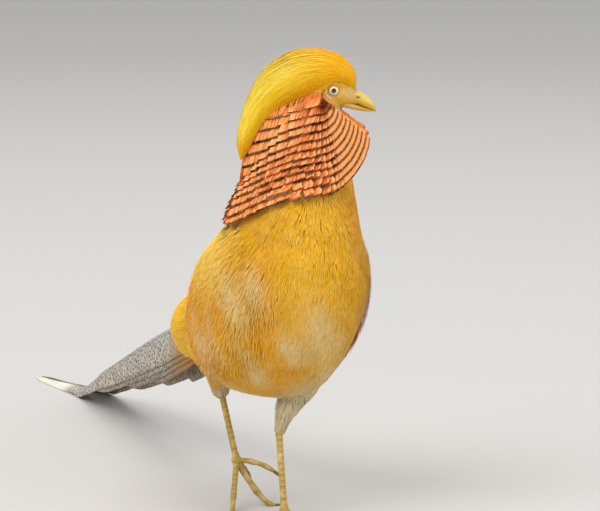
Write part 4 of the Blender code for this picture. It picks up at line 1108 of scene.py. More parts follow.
eye_finish, tree, shader = plain_material("wet_eye", (1, 1, 1), 0.06, Coat_Weight=1.0, Coat_Roughness=0.02)
colour_in = add_node(tree, "Attribute")
colour_in.attribute_name = "tint"
wire(tree, (colour_in, "Color", shader, "Base Color"))
lid_finish = feather_material("eyelid_skin", 0.5, 0.05, 0.2, 2200.0)[0]
for name, side in (("left", 1), ("right", -1)):
    eye_points, eye_faces = ball(side, EYE_RADIUS)
    eye = mesh_piece("eye_ball_" + name, eye_points, eye_faces)
    paint(eye, eye_tint(eye_points))
    dress(eye, eye_finish, "eye_surface", "eye_" + name)
    turn = circle(LID_SIDES)
    wave = 0.10 * np.sin(9 * turn) + 0.07 * np.sin(17 * turn + 1)
    squash = np.where(np.sin(turn) > 0, 0.94, 0.97)
    rings = []
    for index, (off, out, _) in enumerate(LID_ROWS):
        # Only the raised middle of the rim is wrinkled.
        fold = wave * (index in (2, 3, 4))
        rings.append(in_head(off * np.cos(turn), off * np.sin(turn) * squash,
                             side * (EYE_SIDE + out + fold - 0.06 * off * np.cos(turn))))
    lid_points = np.concatenate(rings)
    number = np.arange(len(lid_points)).reshape(len(LID_ROWS), LID_SIDES)
    here, there = number[:-1], number[1:]
    here_next, there_next = np.roll(here, -1, 1), np.roll(there, -1, 1)
    lid_faces = np.stack((here, here_next, there_next, here, there_next, there), -1).reshape(-1, 3)
    lid = mesh_piece("eye_lid_" + name, lid_points, lid_faces)
    shade = np.repeat([row[2] for row in LID_ROWS], LID_SIDES)[:, None]
    paint(lid, plain_tint(srgb(214, 176, 138), lid_points) * shade)
    dress(lid, lid_finish, "crest_feathers")
print("eyes and lids made")

# %% [markdown]
# The bill is two horn sheaths that close along the mouth line. The upper one hooks a little over
# the lower one and carries a nostril under a soft fold near its base. Both are lofts of ovals; the
# fold is a second small loft, and the nostril a dark dent under it.

# %% The bill
# Each row: forward, lower edge, upper edge and half width, in millimetres from the eyes.
BILL_UPPER = ((8, -9.4, 0.6, 6.0), (12, -10.2, 1.6, 6.4), (17, -11.8, 0.8, 6.0), (21.5, -13.3, -1.0, 5.3),
              (26.5, -15.4, -3.6, 4.4), (31, -17.0, -7.4, 3.4), (34.5, -18.2, -11.6, 2.3),
              (36.3, -19.2, -15.0, 1.3), (37.0, -20.0, -18.2, 0.5))
BILL_LOWER = ((8, -15.5, -9.4, 5.3), (13, -16.4, -10.3, 5.2), (18, -17.6, -11.9, 4.6),
              (24, -18.7, -14.1, 3.7), (29, -19.2, -15.8, 2.6), (33, -19.2, -17.0, 1.5),
              (34.6, -18.9, -17.6, 0.6))
NOSTRIL = (21.2, -6.2)
BILL_RINGS, BILL_SIDES = 70, 40
BILL_FINISH, tree, shader = feather_material("bill_horn", 0.34, 0.0, 0.12, 500.0, 0.15)
set_inputs(shader, Coat_Weight=0.3, Specular_IOR_Level=0.5)


def bill_tint(points):
    """Warm flesh colour at the base, yellow horn ahead, and a brown line along the mouth: painted shade
    where the two sheaths meet.
    """
    forward, up, right = head_place(points)
    mouth_line = np.array(BILL_UPPER)
    above = up - np.interp(forward, mouth_line[:, 0], mouth_line[:, 1])
    nostril = np.hypot((forward - NOSTRIL[0]) / 2.4, (up - NOSTRIL[1]) / 0.9)
    return wash(plain_tint(srgb(206, 172, 34), points),
                (srgb(222, 176, 116), smooth_step(23, 14, forward)),
                (srgb(232, 200, 84), 0.7 * smooth_step(3, 7, above) * smooth_step(18, 24, forward)),
                (srgb(150, 74, 34), 0.85 * smooth_step(1.1, 0.2, np.abs(above))),
                (srgb(46, 26, 16), smooth_step(1.2, 0.7, nostril) * (np.abs(right) > 2)))


def bill_half(name, rows):
    """One sheath of the bill, with the nostril's dent where it reaches that high."""
    turn = circle(BILL_SIDES)
    rings = []
    for forward, low, high, half in read_rows(rows, np.linspace(0, 1, BILL_RINGS) ** 0.85):
        level = (low + high) / 2 + squared(np.sin(turn), 0.9) * (high - low) / 2
        dent = np.exp(-((forward - NOSTRIL[0]) / 2.0) ** 2 - ((level - NOSTRIL[1]) / 0.8) ** 2)
        side = squared(np.cos(turn), 0.9) * half * (1 - 0.16 * dent)
        rings.append(in_head(np.full(BILL_SIDES, forward), level, side))
    points, faces = loft(rings)
    made = mesh_piece(name + "_horn", points, faces)
    paint(made, bill_tint(points))
    dress(made, BILL_FINISH, "bill_horn", name)


bill_half("bill_upper", BILL_UPPER)
bill_half("bill_lower", BILL_LOWER)
# The soft fold over each nostril: forward, up and out along its line, in millimetres.
NOSTRIL_FOLD = ((15.5, -3.4, 5.4), (17.5, -3.6, 5.75), (19.5, -4.2, 5.6), (21.5, -5.0, 5.1),
                (23.2, -5.9, 4.5))
for name, side in (("left", -1), ("right", 1)):
    share = np.linspace(0, 1, 20)
    line = read_rows([in_head(forward, up, side * out) for forward, up, out in NOSTRIL_FOLD], share)
    radii = np.interp(share, (0, 0.3, 0.7, 1), (0.7, 1.5, 1.3, 0.3)) * MM
    fold_points, fold_faces = loft(tube(line, radii, 16))
    fold = mesh_piece("nostril_fold_" + name, fold_points, fold_faces)
    paint(fold, plain_tint(srgb(224, 184, 128), fold_points))
    dress(fold, BILL_FINISH, "bill_horn")
print("bill made")

# %% [markdown]
# The folded wing is a thin plate on the flank. From its upper edge down it shows small coverts,
# then the secondaries, and lowest the long primaries, each tier coming out from under the one
# above. On this bird long yellow flank plumes hide most of the wing.

# %% The wing's feathers
TAWNY = srgb(176, 116, 40)
WING_BROWN = srgb(122, 90, 54)
WING_CREAM = srgb(214, 184, 130)
# Each tier: how many feathers, roots and tips along the wing, from how high to how low, lift, half
# width, and whether its colour is brown at 0 or golden at 1.
WING_TIERS = (
    (8, 0.30, 1.00, 0.42, 0.95, 2.4, 0.070, 0.0),
    (10, 0.12, 0.86, 0.16, 0.84, 3.2, 0.065, 0.2),
    (12, 0.06, 0.66, 0.06, 0.90, 3.8, 0.060, 0.5),
    (14, 0.02, 0.46, 0.06, 0.94, 4.3, 0.055, 0.9),
    (16, 0.00, 0.28, 0.08, 0.92, 4.7, 0.050, 1.0))
WING_DEPTH = 78 * MM


def wing_point(side, along, down, out):
    """A place on the wing: along from its bend to its tip, down from its upper edge, out in mm."""
    top, bottom = read_rows(WING_UPPER_EDGE, along), read_rows(WING_LOWER_EDGE, along)
    spot = top + (bottom - top) * np.asarray(down)[..., None]
    reach = side_of_body(np.clip(spot[..., 0], -0.12, 0.078), spot[..., 1], out * MM)
    return np.stack((side * reach, spot[..., 0], spot[..., 1]), -1)


def wing_feathers(name, side, seed):
    """The wing's broad feathers, tier by tier. Returns their measures for the barbs."""
    draw = np.random.default_rng(seed)
    steps = np.linspace(0, 1, 12)
    parts = []
    for tier, (count, root, tip, high, low, lift, wide, gold) in enumerate(WING_TIERS):
        number = np.arange(count)
        down = high + (low - high) * number / (count - 1)
        end = tip + draw.uniform(-0.015, 0.015, count) - 0.10 * (number / (count - 1) - 0.45) ** 2
        place = root + (end[:, None] - root) * steps
        out = lift - 2.6 * (1 - steps) ** 1.5 + 0.06 * number[:, None] * (steps > 0.3)
        centre = wing_point(side, place, down[:, None] + 0 * place, out)
        beside = wing_point(side, place, down[:, None] + 0.02 + 0 * place, out)
        across = unit(beside - centre)
        away = unit(np.cross(unit(np.gradient(centre, axis=1)), across))
        away = away * np.sign(away[..., :1] * side)
        narrow = np.interp(steps, (0, 0.15, 0.8, 0.93, 1), (0.5, 0.95, 1.0, 0.78, 0.24))
        half = WING_DEPTH * wide * narrow * draw.uniform(0.94, 1.06, (count, 1))
        ground = blend(WING_BROWN, TAWNY, min(gold * 2, 1))
        tint = wash(np.tile(ground, (count, len(steps), 1)), (GOLD, 0 * half + max(gold * 1.4 - 0.4, 0)),
                    (WING_CREAM, 0.5 * (1 - gold) * smooth_step(0.72, 1.0, steps) + 0 * half))
        tint = tint * draw.uniform(0.85, 1.12, (count, 1))[..., None]
        spot = np.stack((0.5 + side * (0.12 + 0.3 * down), 0.1 + 0.16 * tier + 0 * down), -1)
        parts.append((centre, across, away, half, tint, spot))
    centre, across, away, half, tint, spot = [np.concatenate(values) for values in zip(*parts)]
    strips(name, centre, across, away, half, half * 0.16, np.linspace(-1, 1, 7), spot, tint,
           "wing_feathers", FIRM_PLUME)
    return centre, across, away, half, tint, spot


def wing_barbs(name, feathers, each, seed):
    """Barbs on the wing feathers: each leaves the shaft at a slant and runs to the feather's edge."""
    centre, across, away, half, tint, spot = feathers
    draw = np.random.default_rng(seed)
    count = len(centre) * each
    which = np.repeat(np.arange(len(centre)), each)
    hand = np.where(draw.random(count) < 0.5, -1.0, 1.0)
    start = draw.uniform(0.02, 0.88, count)
    steps = np.linspace(0, 1, 4)
    place = np.clip(start[:, None] + 0.13 * steps, 0, 1) * (centre.shape[1] - 1)
    low = np.minimum(place.astype(int), centre.shape[1] - 2)
    part = (place - low)[..., None]
    row = which[:, None]

    def read(values):
        return values[row, low] * (1 - part) + values[row, low + 1] * part

    wide = read(half[..., None])
    reach = (hand[:, None] * (0.03 + 1.02 * steps))[..., None]
    rise = wide * 0.16 * (1 - reach ** 2) + 0.12 * MM
    middle = read(centre) + read(across) * wide * reach + read(away) * rise
    up = unit(read(away))
    width = 0.32 * MM * draw.uniform(0.7, 1.3, (count, 1)) * np.array((0.7, 1.0, 0.9, 0.35))
    shade = read(tint) * draw.uniform(0.78, 1.22, (count, 1, 1))
    strips(name, middle, frame_strips(middle, up), up, width, width * 0.3, (-1, 1), spot[which], shade,
           "wing_feathers", FIRM_PLUME)


# %% [markdown]
# Under the feathers lies the wing's plate, and over them fall the flank's plumes. They stand off
# the skin most in the middle of the wing, so they run over it as one soft swelling.

# %% The wing's plate and the flank's plumes
PLATE_END = 0.84
OVER_SHIFT = 0.012


def plate_rings(side):
    """Sections of the wing's plate: flat on the body inside, and gently arched outside."""
    rings = []
    down = np.linspace(0, 1, 14)
    crown = 0.4 + 0.6 * (1 - (2 * down - 1) ** 2)
    for place in np.linspace(0.0, PLATE_END, 30):
        full = np.sin(np.pi * np.clip(0.12 + 0.88 * place / PLATE_END, 0.05, 0.93)) ** 0.5
        inner = wing_point(side, np.full(14, place), down, np.full(14, 1.0))
        outer = wing_point(side, np.full(14, place), down, 1.2 + 2.4 * full * crown)
        rings.append(np.concatenate((inner, outer[::-1])))
    return rings


def under_plumes(points):
    """How fully the flank's plumes must clear the wing at a place."""
    return over_wing(points[:, 1] + OVER_SHIFT, points[:, 2] - OVER_SHIFT)


def shoulder(side):
    """Picks the part of one flank from which long plumes fall over the wing."""
    def wanted(points):
        x, along, height = points.T
        low = height < 0.265 - 0.55 * np.maximum(along + 0.03, 0)
        return on_body(points) & (side * x > 0.015) & (along < 0.002) & low & (under_plumes(points) > 0.01)
    return wanted


plume_look = dict(body_look)
plume_look["height"] = lambda points: (4.4 + 8.0 * under_plumes(points)) * MM
for name, side, seed in (("left", 1, 61), ("right", -1, 71)):
    plate_points, plate_faces = loft(plate_rings(side))
    wing = mesh_piece("wing_plate_" + name, plate_points, plate_faces)
    # The plate is painted the wing's brown darkened to 0.7: painted shade under the wing's feathers.
    paint(wing, plain_tint(WING_BROWN * 0.7, plate_points))
    dress(wing, FIRM_PLUME, "wing_feathers", "wing_" + name)
    feathers = wing_feathers("wing_feathers_" + name, side, seed)
    wing_barbs("wing_barbs_" + name, feathers, 70, seed + 1)
    clumped_coat("flank_plumes_" + name, int(1450 * DENSITY), 9, seed + 2, shoulder(side), plume_look)

# %% [markdown]
# The tail is a long narrow roof. Its two central feathers meet at the ridge and run the whole
# length, and shorter feathers nest beneath them. The table gives the roof's middle line and
# section, and the same reader as for the body fills it in.

# %% The roof of the tail
# Each row: along, across and height of the middle line, then half width and depth in millimetres.
TAIL_LINE = np.array((
    (0.062, 0.000, 0.1500, 10, 12), (0.100, 0.003, 0.1460, 16, 22), (0.150, 0.012, 0.1340, 20, 32),
    (0.220, 0.024, 0.1160, 22, 38), (0.300, 0.038, 0.0950, 22, 38), (0.380, 0.052, 0.0730, 22, 34),
    (0.450, 0.064, 0.0530, 22, 29), (0.520, 0.076, 0.0340, 22, 23), (0.580, 0.086, 0.0155, 21, 15.5),
    (0.630, 0.091, 0.0020, 20, 11), (0.690, 0.089, -0.0004, 17, 8), (0.735, 0.086, -0.0006, 13, 6),
    (0.761, 0.084, -0.0006, 6, 4)))
TAIL_END = 0.761
TAIL_SIDE_ENDS = (0.560, 0.420, 0.295)
FLOOR_GAP = 0.5 * MM


def roof_point(along, spread, lower, shrink, lift=0.0):
    """A place on the roof, from the ridge at 0 to an eave at 1 or -1; lower and lift in mm."""
    along, spread = np.broadcast_arrays(np.asarray(along, float), np.asarray(spread, float))
    row = read_rows(TAIL_LINE, row_place(TAIL_LINE[:, 0], along))
    across, height, half, depth = row[..., 1], row[..., 2], row[..., 3] * MM, row[..., 4] * MM
    reach = np.abs(spread)
    bend = np.pi / 2 * reach
    steep = np.minimum(depth / half, 1.0)
    x = steep * np.sin(bend) + (1 - steep) * reach
    drop = steep * (1 - np.cos(bend)) * (0.35 + 0.65 * reach) + (1 - steep) * reach ** 2
    z = height + depth / 2 - drop * depth + (lift - lower) * MM
    return np.stack((across + np.sign(spread) * x * half * shrink, along, np.maximum(z, FLOOR_GAP)), -1)


# %% [markdown]
# The net on the tail feathers is a cell pattern: dark grey-brown islands with pale lines between.
# A Voronoi texture gives it, and wherever the distance to a cell's edge is small the pale line
# shows. The plumes' own tint still sets the ground colour, and its alpha says how strong the net is.

# %% The netted feather material
NET_CELL = 4.6 * MM
NET_PLUME, tree, shader = feather_material("netted_tail_plume", 0.5, 0.05, 0.2)
ground = shader.inputs["Base Color"].links[0].from_node
own = next(node for node in tree.nodes if node.type == "ATTRIBUTE")
where = next(node for node in tree.nodes if node.type == "TEX_COORD")
stretch = add_node(tree, "Mapping", Scale=(1.0, 0.62, 1.0))
cells = add_node(tree, "TexVoronoi", Scale=1 / NET_CELL, Randomness=0.85)
cells.feature = "DISTANCE_TO_EDGE"
level = add_node(tree, "MapRange", From_Min=0.20, From_Max=0.05)
level.interpolation_type = "SMOOTHSTEP"
strength = add_node(tree, "Math")
strength.operation = "MULTIPLY"
mix = add_node(tree, "Mix")
mix.data_type = "RGBA"
mix.inputs["B"].default_value = (*srgb(206, 200, 188), 1)
wire(tree, (where, "Object", stretch, "Vector"), (stretch, "Vector", cells, "Vector"),
     (cells, "Distance", level, "Value"), (level, "Result", strength, 0), (own, "Alpha", strength, 1),
     (strength, "Value", mix, "Factor"), (ground, "Vector", mix, "A"), (mix, "Result", shader, "Base Color"))
print("net cell", NET_CELL, "m")

# %% [markdown]
# Each tail feather is one thin sheet with thousands of slanting barbs laid over it, which fray its
# edge. The feathers of a nest lie lower, narrower and shorter than the ones above them.

# %% The tail's feathers
TAIL_GREY = srgb(122, 114, 106)
TAIL_BROWN = srgb(122, 100, 74)
TAIL_TIP = srgb(236, 230, 208)
TAIL_BASE = srgb(196, 130, 40)
SHEET_ROWS, SHEET_COLUMNS = 60, 13


def tail_tint(along, spread, nest):
    """Grey-brown, browner at the eaves and below, cream at the tip; the alpha is the net's strength."""
    along, spread = np.broadcast_arrays(along, spread)
    brown = np.clip(0.65 * smooth_step(0.45, 1.0, np.abs(spread)) + 0.22 * nest, 0, 1)
    tip = smooth_step(TAIL_END - 0.115, TAIL_END - 0.085, along) * (nest == 0)
    tint = wash(np.tile(TAIL_GREY, along.shape + (1,)), (TAIL_BROWN, brown), (TAIL_TIP, tip),
                (TAIL_BASE, 0.75 * smooth_step(0.24, 0.15, along)))
    net = smooth_step(0.14, 0.24, along) * smooth_step(TAIL_END - 0.09, TAIL_END - 0.12, along)
    return tint, (net * (0.85, 0.6, 0.5, 0.4)[nest])[..., None]


def rounded_end(place):
    """How wide a feather still is at a place along it: full at first, then round toward its tip."""
    return np.sqrt(np.clip(1 - np.maximum((place - 0.80) / 0.2, 0) ** 2, 0.03, 1))


def tail_feather(name, side, start, end, inner, outer, nest, barbs, seed):
    """One feather, from start to end along the tail and from inner to outer across its half roof."""
    draw = np.random.default_rng(seed)
    lower, shrink = 2.8 * nest, 1.0 - 0.055 * nest
    middle, half = (inner + outer) / 2, (outer - inner) / 2
    steps = np.linspace(0, 1, SHEET_ROWS)
    along = (start + (end - start) * steps)[:, None]
    spread = side * (middle + half * rounded_end(steps)[:, None] * np.linspace(-1, 1, SHEET_COLUMNS))
    faces = grid_faces(np.arange(spread.size).reshape(spread.shape))
    sheet = mesh_piece(name, roof_point(along, spread, lower, shrink), faces)
    tint, net = tail_tint(along, spread, nest)
    # The sheet is painted darker than its barbs, by 0.85: painted shade between the barbs.
    paint(sheet, np.concatenate((tint * 0.85, net), -1).reshape(-1, 4))
    thick = sheet.modifiers.new("thickness", "SOLIDIFY")
    thick.thickness = 0.2 * MM
    thick.offset = 0
    dress(sheet, NET_PLUME, "tail_feathers")
    hand = np.where(draw.random(barbs) < 0.5, -1.0, 1.0)
    root = draw.uniform(-0.01, 0.96, barbs)
    part = np.linspace(0, 1, 6)
    slant = 0.034 * (0.8 + 0.4 * draw.random(barbs)) / (end - start)
    place = np.clip(root[:, None] + slant[:, None] * part, 0, 1)
    reach = hand[:, None] * part * (0.94 + 0.05 * draw.random((barbs, 1)))
    spread = side * (middle + half * rounded_end(place) * reach)
    along = start + (end - start) * place
    lift = 0.22 + 0.25 * draw.random((barbs, 1))
    line = roof_point(along, spread, lower, shrink, lift)
    beside = roof_point(along, spread + 0.03, lower, shrink, lift) - line
    beyond = roof_point(along + 0.004, spread, lower, shrink, lift) - line
    up = unit(np.cross(beside, beyond))
    width = 0.42 * MM * draw.uniform(0.7, 1.3, (barbs, 1)) * np.array((0.8, 1, 1, 1, 0.8, 0.3))
    tint, net = tail_tint(along, spread, nest)
    tint = np.concatenate((tint * draw.uniform(0.84, 1.16, (barbs, 1, 1)), net), -1)
    spot = np.stack((0.5 + side * (0.06 + 0.09 * nest) + 0.04 * hand, 0.02 + 0.96 * root), -1)
    strips(name + "_barbs", line, frame_strips(line, up), up, width, width * 0.2, (-1, 1), spot, tint,
           "tail_feathers", NET_PLUME)
    return sheet


for hand, side in (("left", 1), ("right", -1)):
    long_feather = tail_feather("tail_long_" + hand, side, 0.090, TAIL_END, 0.030, 1.0, 0,
                                int(4600 * DENSITY), 81 + side)
    if hand == "left":
        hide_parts("tail")
    for nest, end in enumerate(TAIL_SIDE_ENDS, 1):
        tail_feather(f"tail_side_{hand}_{nest}", side, 0.095, end, 0.20, 1.0 + 0.03 * nest, nest,
                     int(1300 * DENSITY), 90 + 4 * side + nest)

# %% [markdown]
# Golden plumes fall over the tail's base. Each starts under the back's feathers and hangs to its
# own side, the lower ones longest. A few narrow, pointed coverts come out beneath them.

# %% The rump's plumes
RUMP_GOLD = srgb(246, 186, 16)
RUMP_BRIGHT = srgb(250, 204, 60)
COVERT_ORANGE = srgb(206, 130, 40)
COVERT_GOLD = srgb(236, 168, 50)


def rump_strips(name, count, seed, wide, length_scale, tint_low, tint_high, reach, radius_more):
    """Plumes round the tail's base, up to so many degrees from its ridge on each side."""
    draw = np.random.default_rng(seed)
    angle = np.radians(draw.uniform(-1, 1, count) * reach)
    end = 0.208 - 0.124 * draw.random(count) ** 0.55 - 0.012 * np.abs(angle)
    start = np.maximum(end - draw.uniform(0.045, 0.080, count) * length_scale, 0.026)
    steps = np.linspace(0, 1, 5)
    along = start[:, None] + (end - start)[:, None] * steps
    row = read_rows(TAIL_LINE, row_place(TAIL_LINE[:, 0], np.clip(along, 0.062, 1)))
    level = row[..., 2] + 0.45 * np.maximum(0.062 - along, 0) + 4 * MM
    part = np.clip((along - 0.064) / 0.12, 0, 1)
    lift = draw.uniform(-0.5, 3.0, count)[:, None] + radius_more
    radius = (40 - 19.5 * part ** 1.6 + lift - 8.0 * (1 - part) * (1 - steps)) * MM
    turned = angle[:, None] * (1 + 0.05 * steps)
    # The plumes bulge at the sides where they leave the body, but not below the tail.
    bulge = 12 * MM * np.sin(turned) ** 2 * (1 - part) * smooth_step(-0.6, 0.2, np.cos(turned))
    radius = radius + bulge
    line = np.stack((row[..., 1] + radius * np.sin(turned), along, level + radius * np.cos(turned)), -1)
    line = clear_of_flesh(line, (-1.0 + 6.5 * steps ** 0.7)[None] * MM + 0 * radius)
    up = unit(line - np.stack((row[..., 1], along, level), -1))
    taper = np.interp(steps, (0, 0.3, 0.75, 1), (0.7, 1, 0.8, 0.2))
    half = wide * MM * draw.uniform(0.75, 1.25, (count, 1)) * taper
    tint = blend(np.tile(tint_low, (count, 5, 1)), tint_high, draw.random((count, 1)) * (0.4 + 0.6 * steps))
    tint = tint * draw.uniform(0.86, 1.12, (count, 1, 1)) * (0.85 + 0.2 * steps)[:, None]
    spot = np.stack((0.5 + angle / (2 * np.pi) * 0.95, 0.62 + 2.4 * start), -1)
    strips(name, line, frame_strips(line, up), up, half, half * 0.3, (-1, 1), spot, tint,
           "rump_feathers", SOFT_PLUME)


rump_strips("rump_plumes", int(12000 * DENSITY), 101, 0.46, 1.0, RUMP_GOLD, RUMP_BRIGHT, 134, 0.0)
rump_strips("rump_coverts", 260, 102, 1.5, 1.15, COVERT_ORANGE, COVERT_GOLD, 128, -2.5)

# %% [markdown]
# Below the belly the feathers turn short, cream and buff, and end above the bare shank.

# %% The belly and thighs
THIGH_CREAM = srgb(212, 194, 152)
THIGH_BUFF = srgb(166, 136, 92)


def on_thigh(points):
    return (points[:, 2] < 0.132) & (points[:, 1] < 0.060)


def thigh_tint(points):
    """Cream with buff patches, which turns into the body's own colours at the top."""
    return wash(plain_tint(THIGH_CREAM, points),
                (THIGH_BUFF, 0.6 * smooth_step(0.0, 0.8, cloud(points, 0.022, 17))),
                (body_tint(points), smooth_step(0.112, 0.126, points[:, 2])))


def lie_of_thigh(points, normals):
    return level_with(np.tile((0.0, 0.25, -1.0), (len(points), 1)), normals)


thigh_look = {
    "lie": lie_of_thigh, "half_clump": 1.7 * MM, "fan": 0.16, "stray": 0.08, "steps": 3,
    "length": lambda points: (8 + 10 * smooth_step(0.085, 0.125, points[:, 2])) * MM,
    "height": lambda points: (1.3 + 3.2 * smooth_step(0.080, 0.120, points[:, 2])) * MM,
    "half_width": 0.36 * MM, "tint": thigh_tint, "tip": srgb(236, 224, 190), "tip_share": 0.5}
clumped_coat("thigh_coat", int(2000 * DENSITY), 7, 111, on_thigh, thigh_look, "thigh_feathers")

# %% [markdown]
# Claws are horn: two tones mixed by noise that runs along the grain, with faint bumps. The shank
# and toes share the plumes' kind of material, which reads a tint stored at each point.

# %% The claws' horn and the scales
HORN_DARK = srgb(70, 52, 34)
HORN_LIGHT = srgb(132, 104, 70)
CLAW_HORN, tree, shader = plain_material("claw_horn", HORN_LIGHT, 0.4, Coat_Weight=0.35, Coat_Roughness=0.25)
where = add_node(tree, "TexCoord")
stretch = add_node(tree, "Mapping", Scale=(3.0, 1.0, 3.0))
noise = add_node(tree, "TexNoise", Scale=60.0, Detail=4.0)
ramp = add_node(tree, "ValToRGB")
for stop, place, colour in zip(ramp.color_ramp.elements, (0.30, 0.68), (HORN_DARK, HORN_LIGHT)):
    stop.position = place
    stop.color = (*colour, 1)
bump = add_node(tree, "Bump", Strength=0.25, Distance=0.0004)
wire(tree, (where, "Object", stretch, "Vector"), (stretch, "Vector", noise, "Vector"),
     (noise, "Fac", ramp, "Fac"), (ramp, "Color", shader, "Base Color"),
     (noise, "Fac", bump, "Height"), (bump, "Normal", shader, "Normal"))
SCALE_FINISH = feather_material("leg_scales", 0.42, 0.0, 0.22, 800.0, 0.08)[0]
print("horn and scales ready")

# %% [markdown]
# The shank is a bare bone sheath. Broad scutes overlap down its front like tiles, and small round
# scales cover its back. Each toe carries one row of scutes over its top, thickens at its joints,
# and ends in a curved claw. Rings of changing radius give all of these in one tube.

# %% Scaled tubes
LEG_OCHRE = srgb(204, 170, 82)
LEG_DARK = srgb(140, 116, 56)
LEG_PALE = srgb(226, 200, 146)


def scaled_tube(line, radii, scutes, front, step, sides):
    """A tube whose front carries overlapping scutes. Returns points, faces and how far out each lies."""
    rings, depths = [], []
    turn = circle(sides)
    facing = np.clip(np.cos(turn), 0, 1) ** 0.6
    for index, point in enumerate(line):
        forward = unit(line[min(index + 1, len(line) - 1)] - line[max(index - 1, 0)])
        ahead = unit(front - forward * (front @ forward))
        across = np.cross(forward, ahead)
        share = index / (len(line) - 1) * scutes
        edge = share - np.floor(share)
        bead = np.abs(np.sin(3 * turn + 9 * np.floor(2 * share)))
        tile = step * (edge ** 2 * facing + 0.35 * (1 - facing) * bead)
        half = radii[index] + tile
        rings.append(point + np.outer(half * np.cos(turn), ahead) + np.outer(half * np.sin(turn), across))
        depths.append(tile / step * (edge < 0.93))
    points, faces = loft(rings)
    points[:, 2] = np.maximum(points[:, 2], 0.0)
    return points, faces, np.concatenate((*depths, (0.5, 0.5)))


def scaled_piece(name, parts, node, shade):
    """One piece from several scaled tubes, ochre on the scutes and darker between them."""
    points, faces = join([part[:2] for part in parts])
    points = np.array(points)
    depths = np.concatenate([part[2] for part in parts])
    made = mesh_piece(name, points, faces)
    tint = wash(plain_tint(LEG_DARK, points), (LEG_OCHRE, np.clip(0.35 + 0.75 * depths, 0, 1)),
                (LEG_PALE, 0.5 * smooth_step(0.2, 0.9, cloud(points, 0.012, 5))))
    # shade darkens a whole leg's skin; below 1 it is painted shade.
    paint(made, tint * shade)
    dress(made, SCALE_FINISH, "leg_scales", node)
    print(name, len(faces), "triangles")


# %% [markdown]
# Each leg is a shank from ankle to foot, a scaled knob where the toes meet, and four toes. The left
# foot stands, so its claws point out level. The right one is lifted at its heel.

# %% Shanks, toes and claws
# Each toe: its tip, the point toward which its middle bends, and its half thickness in millimetres.
LEFT_TOES = (
    ((-0.0155, -0.1260, 0.0013), (-0.0152, -0.1000, 0.0004), 3.2),
    ((-0.0400, -0.1120, 0.0013), (-0.0280, -0.0980, 0.0004), 2.9),
    ((0.0130, -0.1130, 0.0013), (0.0000, -0.0990, 0.0004), 2.9),
    ((-0.0125, -0.0600, 0.0012), (-0.0140, -0.0680, 0.0004), 2.4))
RIGHT_TOES = (
    ((0.0065, -0.0177, 0.0007), (-0.0040, -0.0155, -0.0014), 3.1),
    ((-0.0425, -0.0310, 0.0007), (-0.0400, -0.0240, -0.0014), 2.8),
    ((0.0026, -0.0236, 0.0330), (-0.0110, -0.0170, 0.0440), 2.8),
    ((-0.0130, 0.0010, 0.0300), (-0.0200, -0.0020, 0.0390), 2.2))
# Each leg: its side, ankle, foot, toes and how bright its skin is. The lifted right leg, under the
# body, is painted darker: painted shade.
LEGS = (
    ("left", (-0.0107, -0.0615, 0.0745), (-0.0149, -0.0806, 0.0085), LEFT_TOES, 1.0),
    ("right", (-0.0280, 0.0250, 0.1020), (-0.0280, -0.0086, 0.0432), RIGHT_TOES, 0.85))
TOE_STEPS = 80


def shank_tube(ankle, joint, front):
    """The shank, a little wider at its ends than in the middle."""
    forward = unit(joint - ankle)
    top, bottom = ankle - forward * 6 * MM, joint - forward * 1.0 * MM
    part = np.linspace(0, 1, 112)
    line = top + (bottom - top) * part[:, None]
    radii = (2.75 + 1.3 * (2 * part - 1) ** 6 * (part < 0.5) + 1.1 * smooth_step(0.88, 1.0, part)) * MM
    return scaled_tube(line, radii, 14, front, 0.42 * MM, 24)


def knob_tube(joint, forward, front):
    """The round knob from which the toes leave."""
    part = np.linspace(-1, 1, 24)
    line = joint - forward * (4.0 * MM) * part[:, None]
    radii = 4.7 * MM * np.sqrt(np.clip(1 - (0.86 * part) ** 2, 0.05, 1))
    return scaled_tube(line, radii, 4, front, 0.25 * MM, 24)


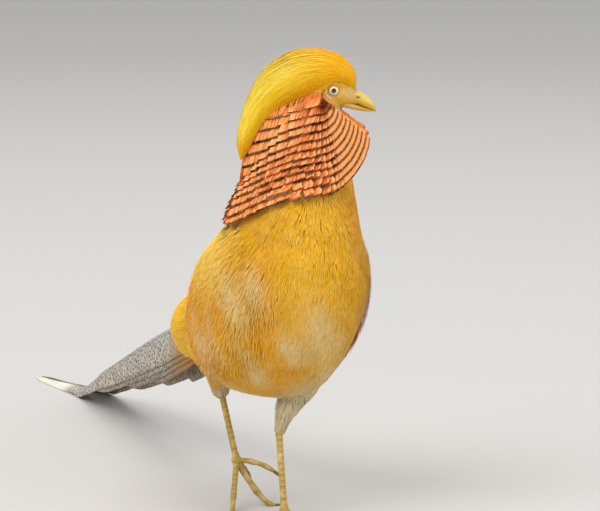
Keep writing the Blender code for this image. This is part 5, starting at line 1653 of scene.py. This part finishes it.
def toe_line(start, bend, tip):
    part = np.linspace(0, 1, TOE_STEPS)[:, None]
    return start * (1 - part) ** 2 + np.array(bend) * (2 * part * (1 - part)) + np.array(tip) * part ** 2


def toe_tube(line, thick):
    """A toe that swells at its joints and rounds off at its end."""
    share = np.linspace(0, 1, TOE_STEPS)
    joints = 0.10 * np.cos(share * 5 * np.pi) + 0.04 * np.cos(share * 10 * np.pi)
    end = np.sqrt(np.clip(1 - np.maximum(share - 0.93, 0) ** 2 / 0.006, 0.1, 1))
    radii = thick * MM * (1.0 - 0.30 * share) * (1 + joints) * end
    return scaled_tube(line, radii, 15, HEAD_UP, 0.26 * MM, 18)


def claw_form(line):
    """A curved claw beyond the end of a toe; a toe on the floor sends it out level."""
    ahead = unit(line[-1] - line[-6])
    if line[-1, 2] < 0.01:
        ahead = unit(ahead * (1, 1, 0))
    reach = np.linspace(-1.5, 9.0, 26)
    sink = 0.02 * np.maximum(reach, 0) ** 2 * MM
    middle = line[-1] + np.outer(reach * MM, ahead) - np.outer(sink, HEAD_UP)
    middle[:, 2] = np.maximum(middle[:, 2], 0.6 * MM)
    radii = np.interp(reach, (-1.5, 0.5, 3.5, 6.4, 9.0), (1.3, 1.55, 1.4, 0.95, 0.2)) * MM
    points, faces = loft(tube(middle, radii))
    points[:, 2] = np.maximum(points[:, 2], 0.0)
    return points, faces


for name, ankle, joint, toes, shade in LEGS:
    ankle, joint = np.array(ankle), np.array(joint)
    forward = unit(joint - ankle)
    front = np.cross(unit(np.cross(forward, (0, 1, 0))), forward)
    front = -front if front[1] > 0 else front
    scaled_piece("shank_skin_" + name, [shank_tube(ankle, joint, front)], "shank_" + name, shade)
    parts = [knob_tube(joint, forward, front)]
    for number, (tip, bend, thick) in enumerate(toes, 1):
        line = toe_line(joint, bend, tip)
        parts.append(toe_tube(line, thick))
        claw = mesh_piece(f"claw_{name}_{number}_horn", *claw_form(line))
        dress(claw, CLAW_HORN, "claw_horn", f"claw_{name}_{number}")
    scaled_piece("foot_skin_" + name, parts, "foot_" + name, shade)
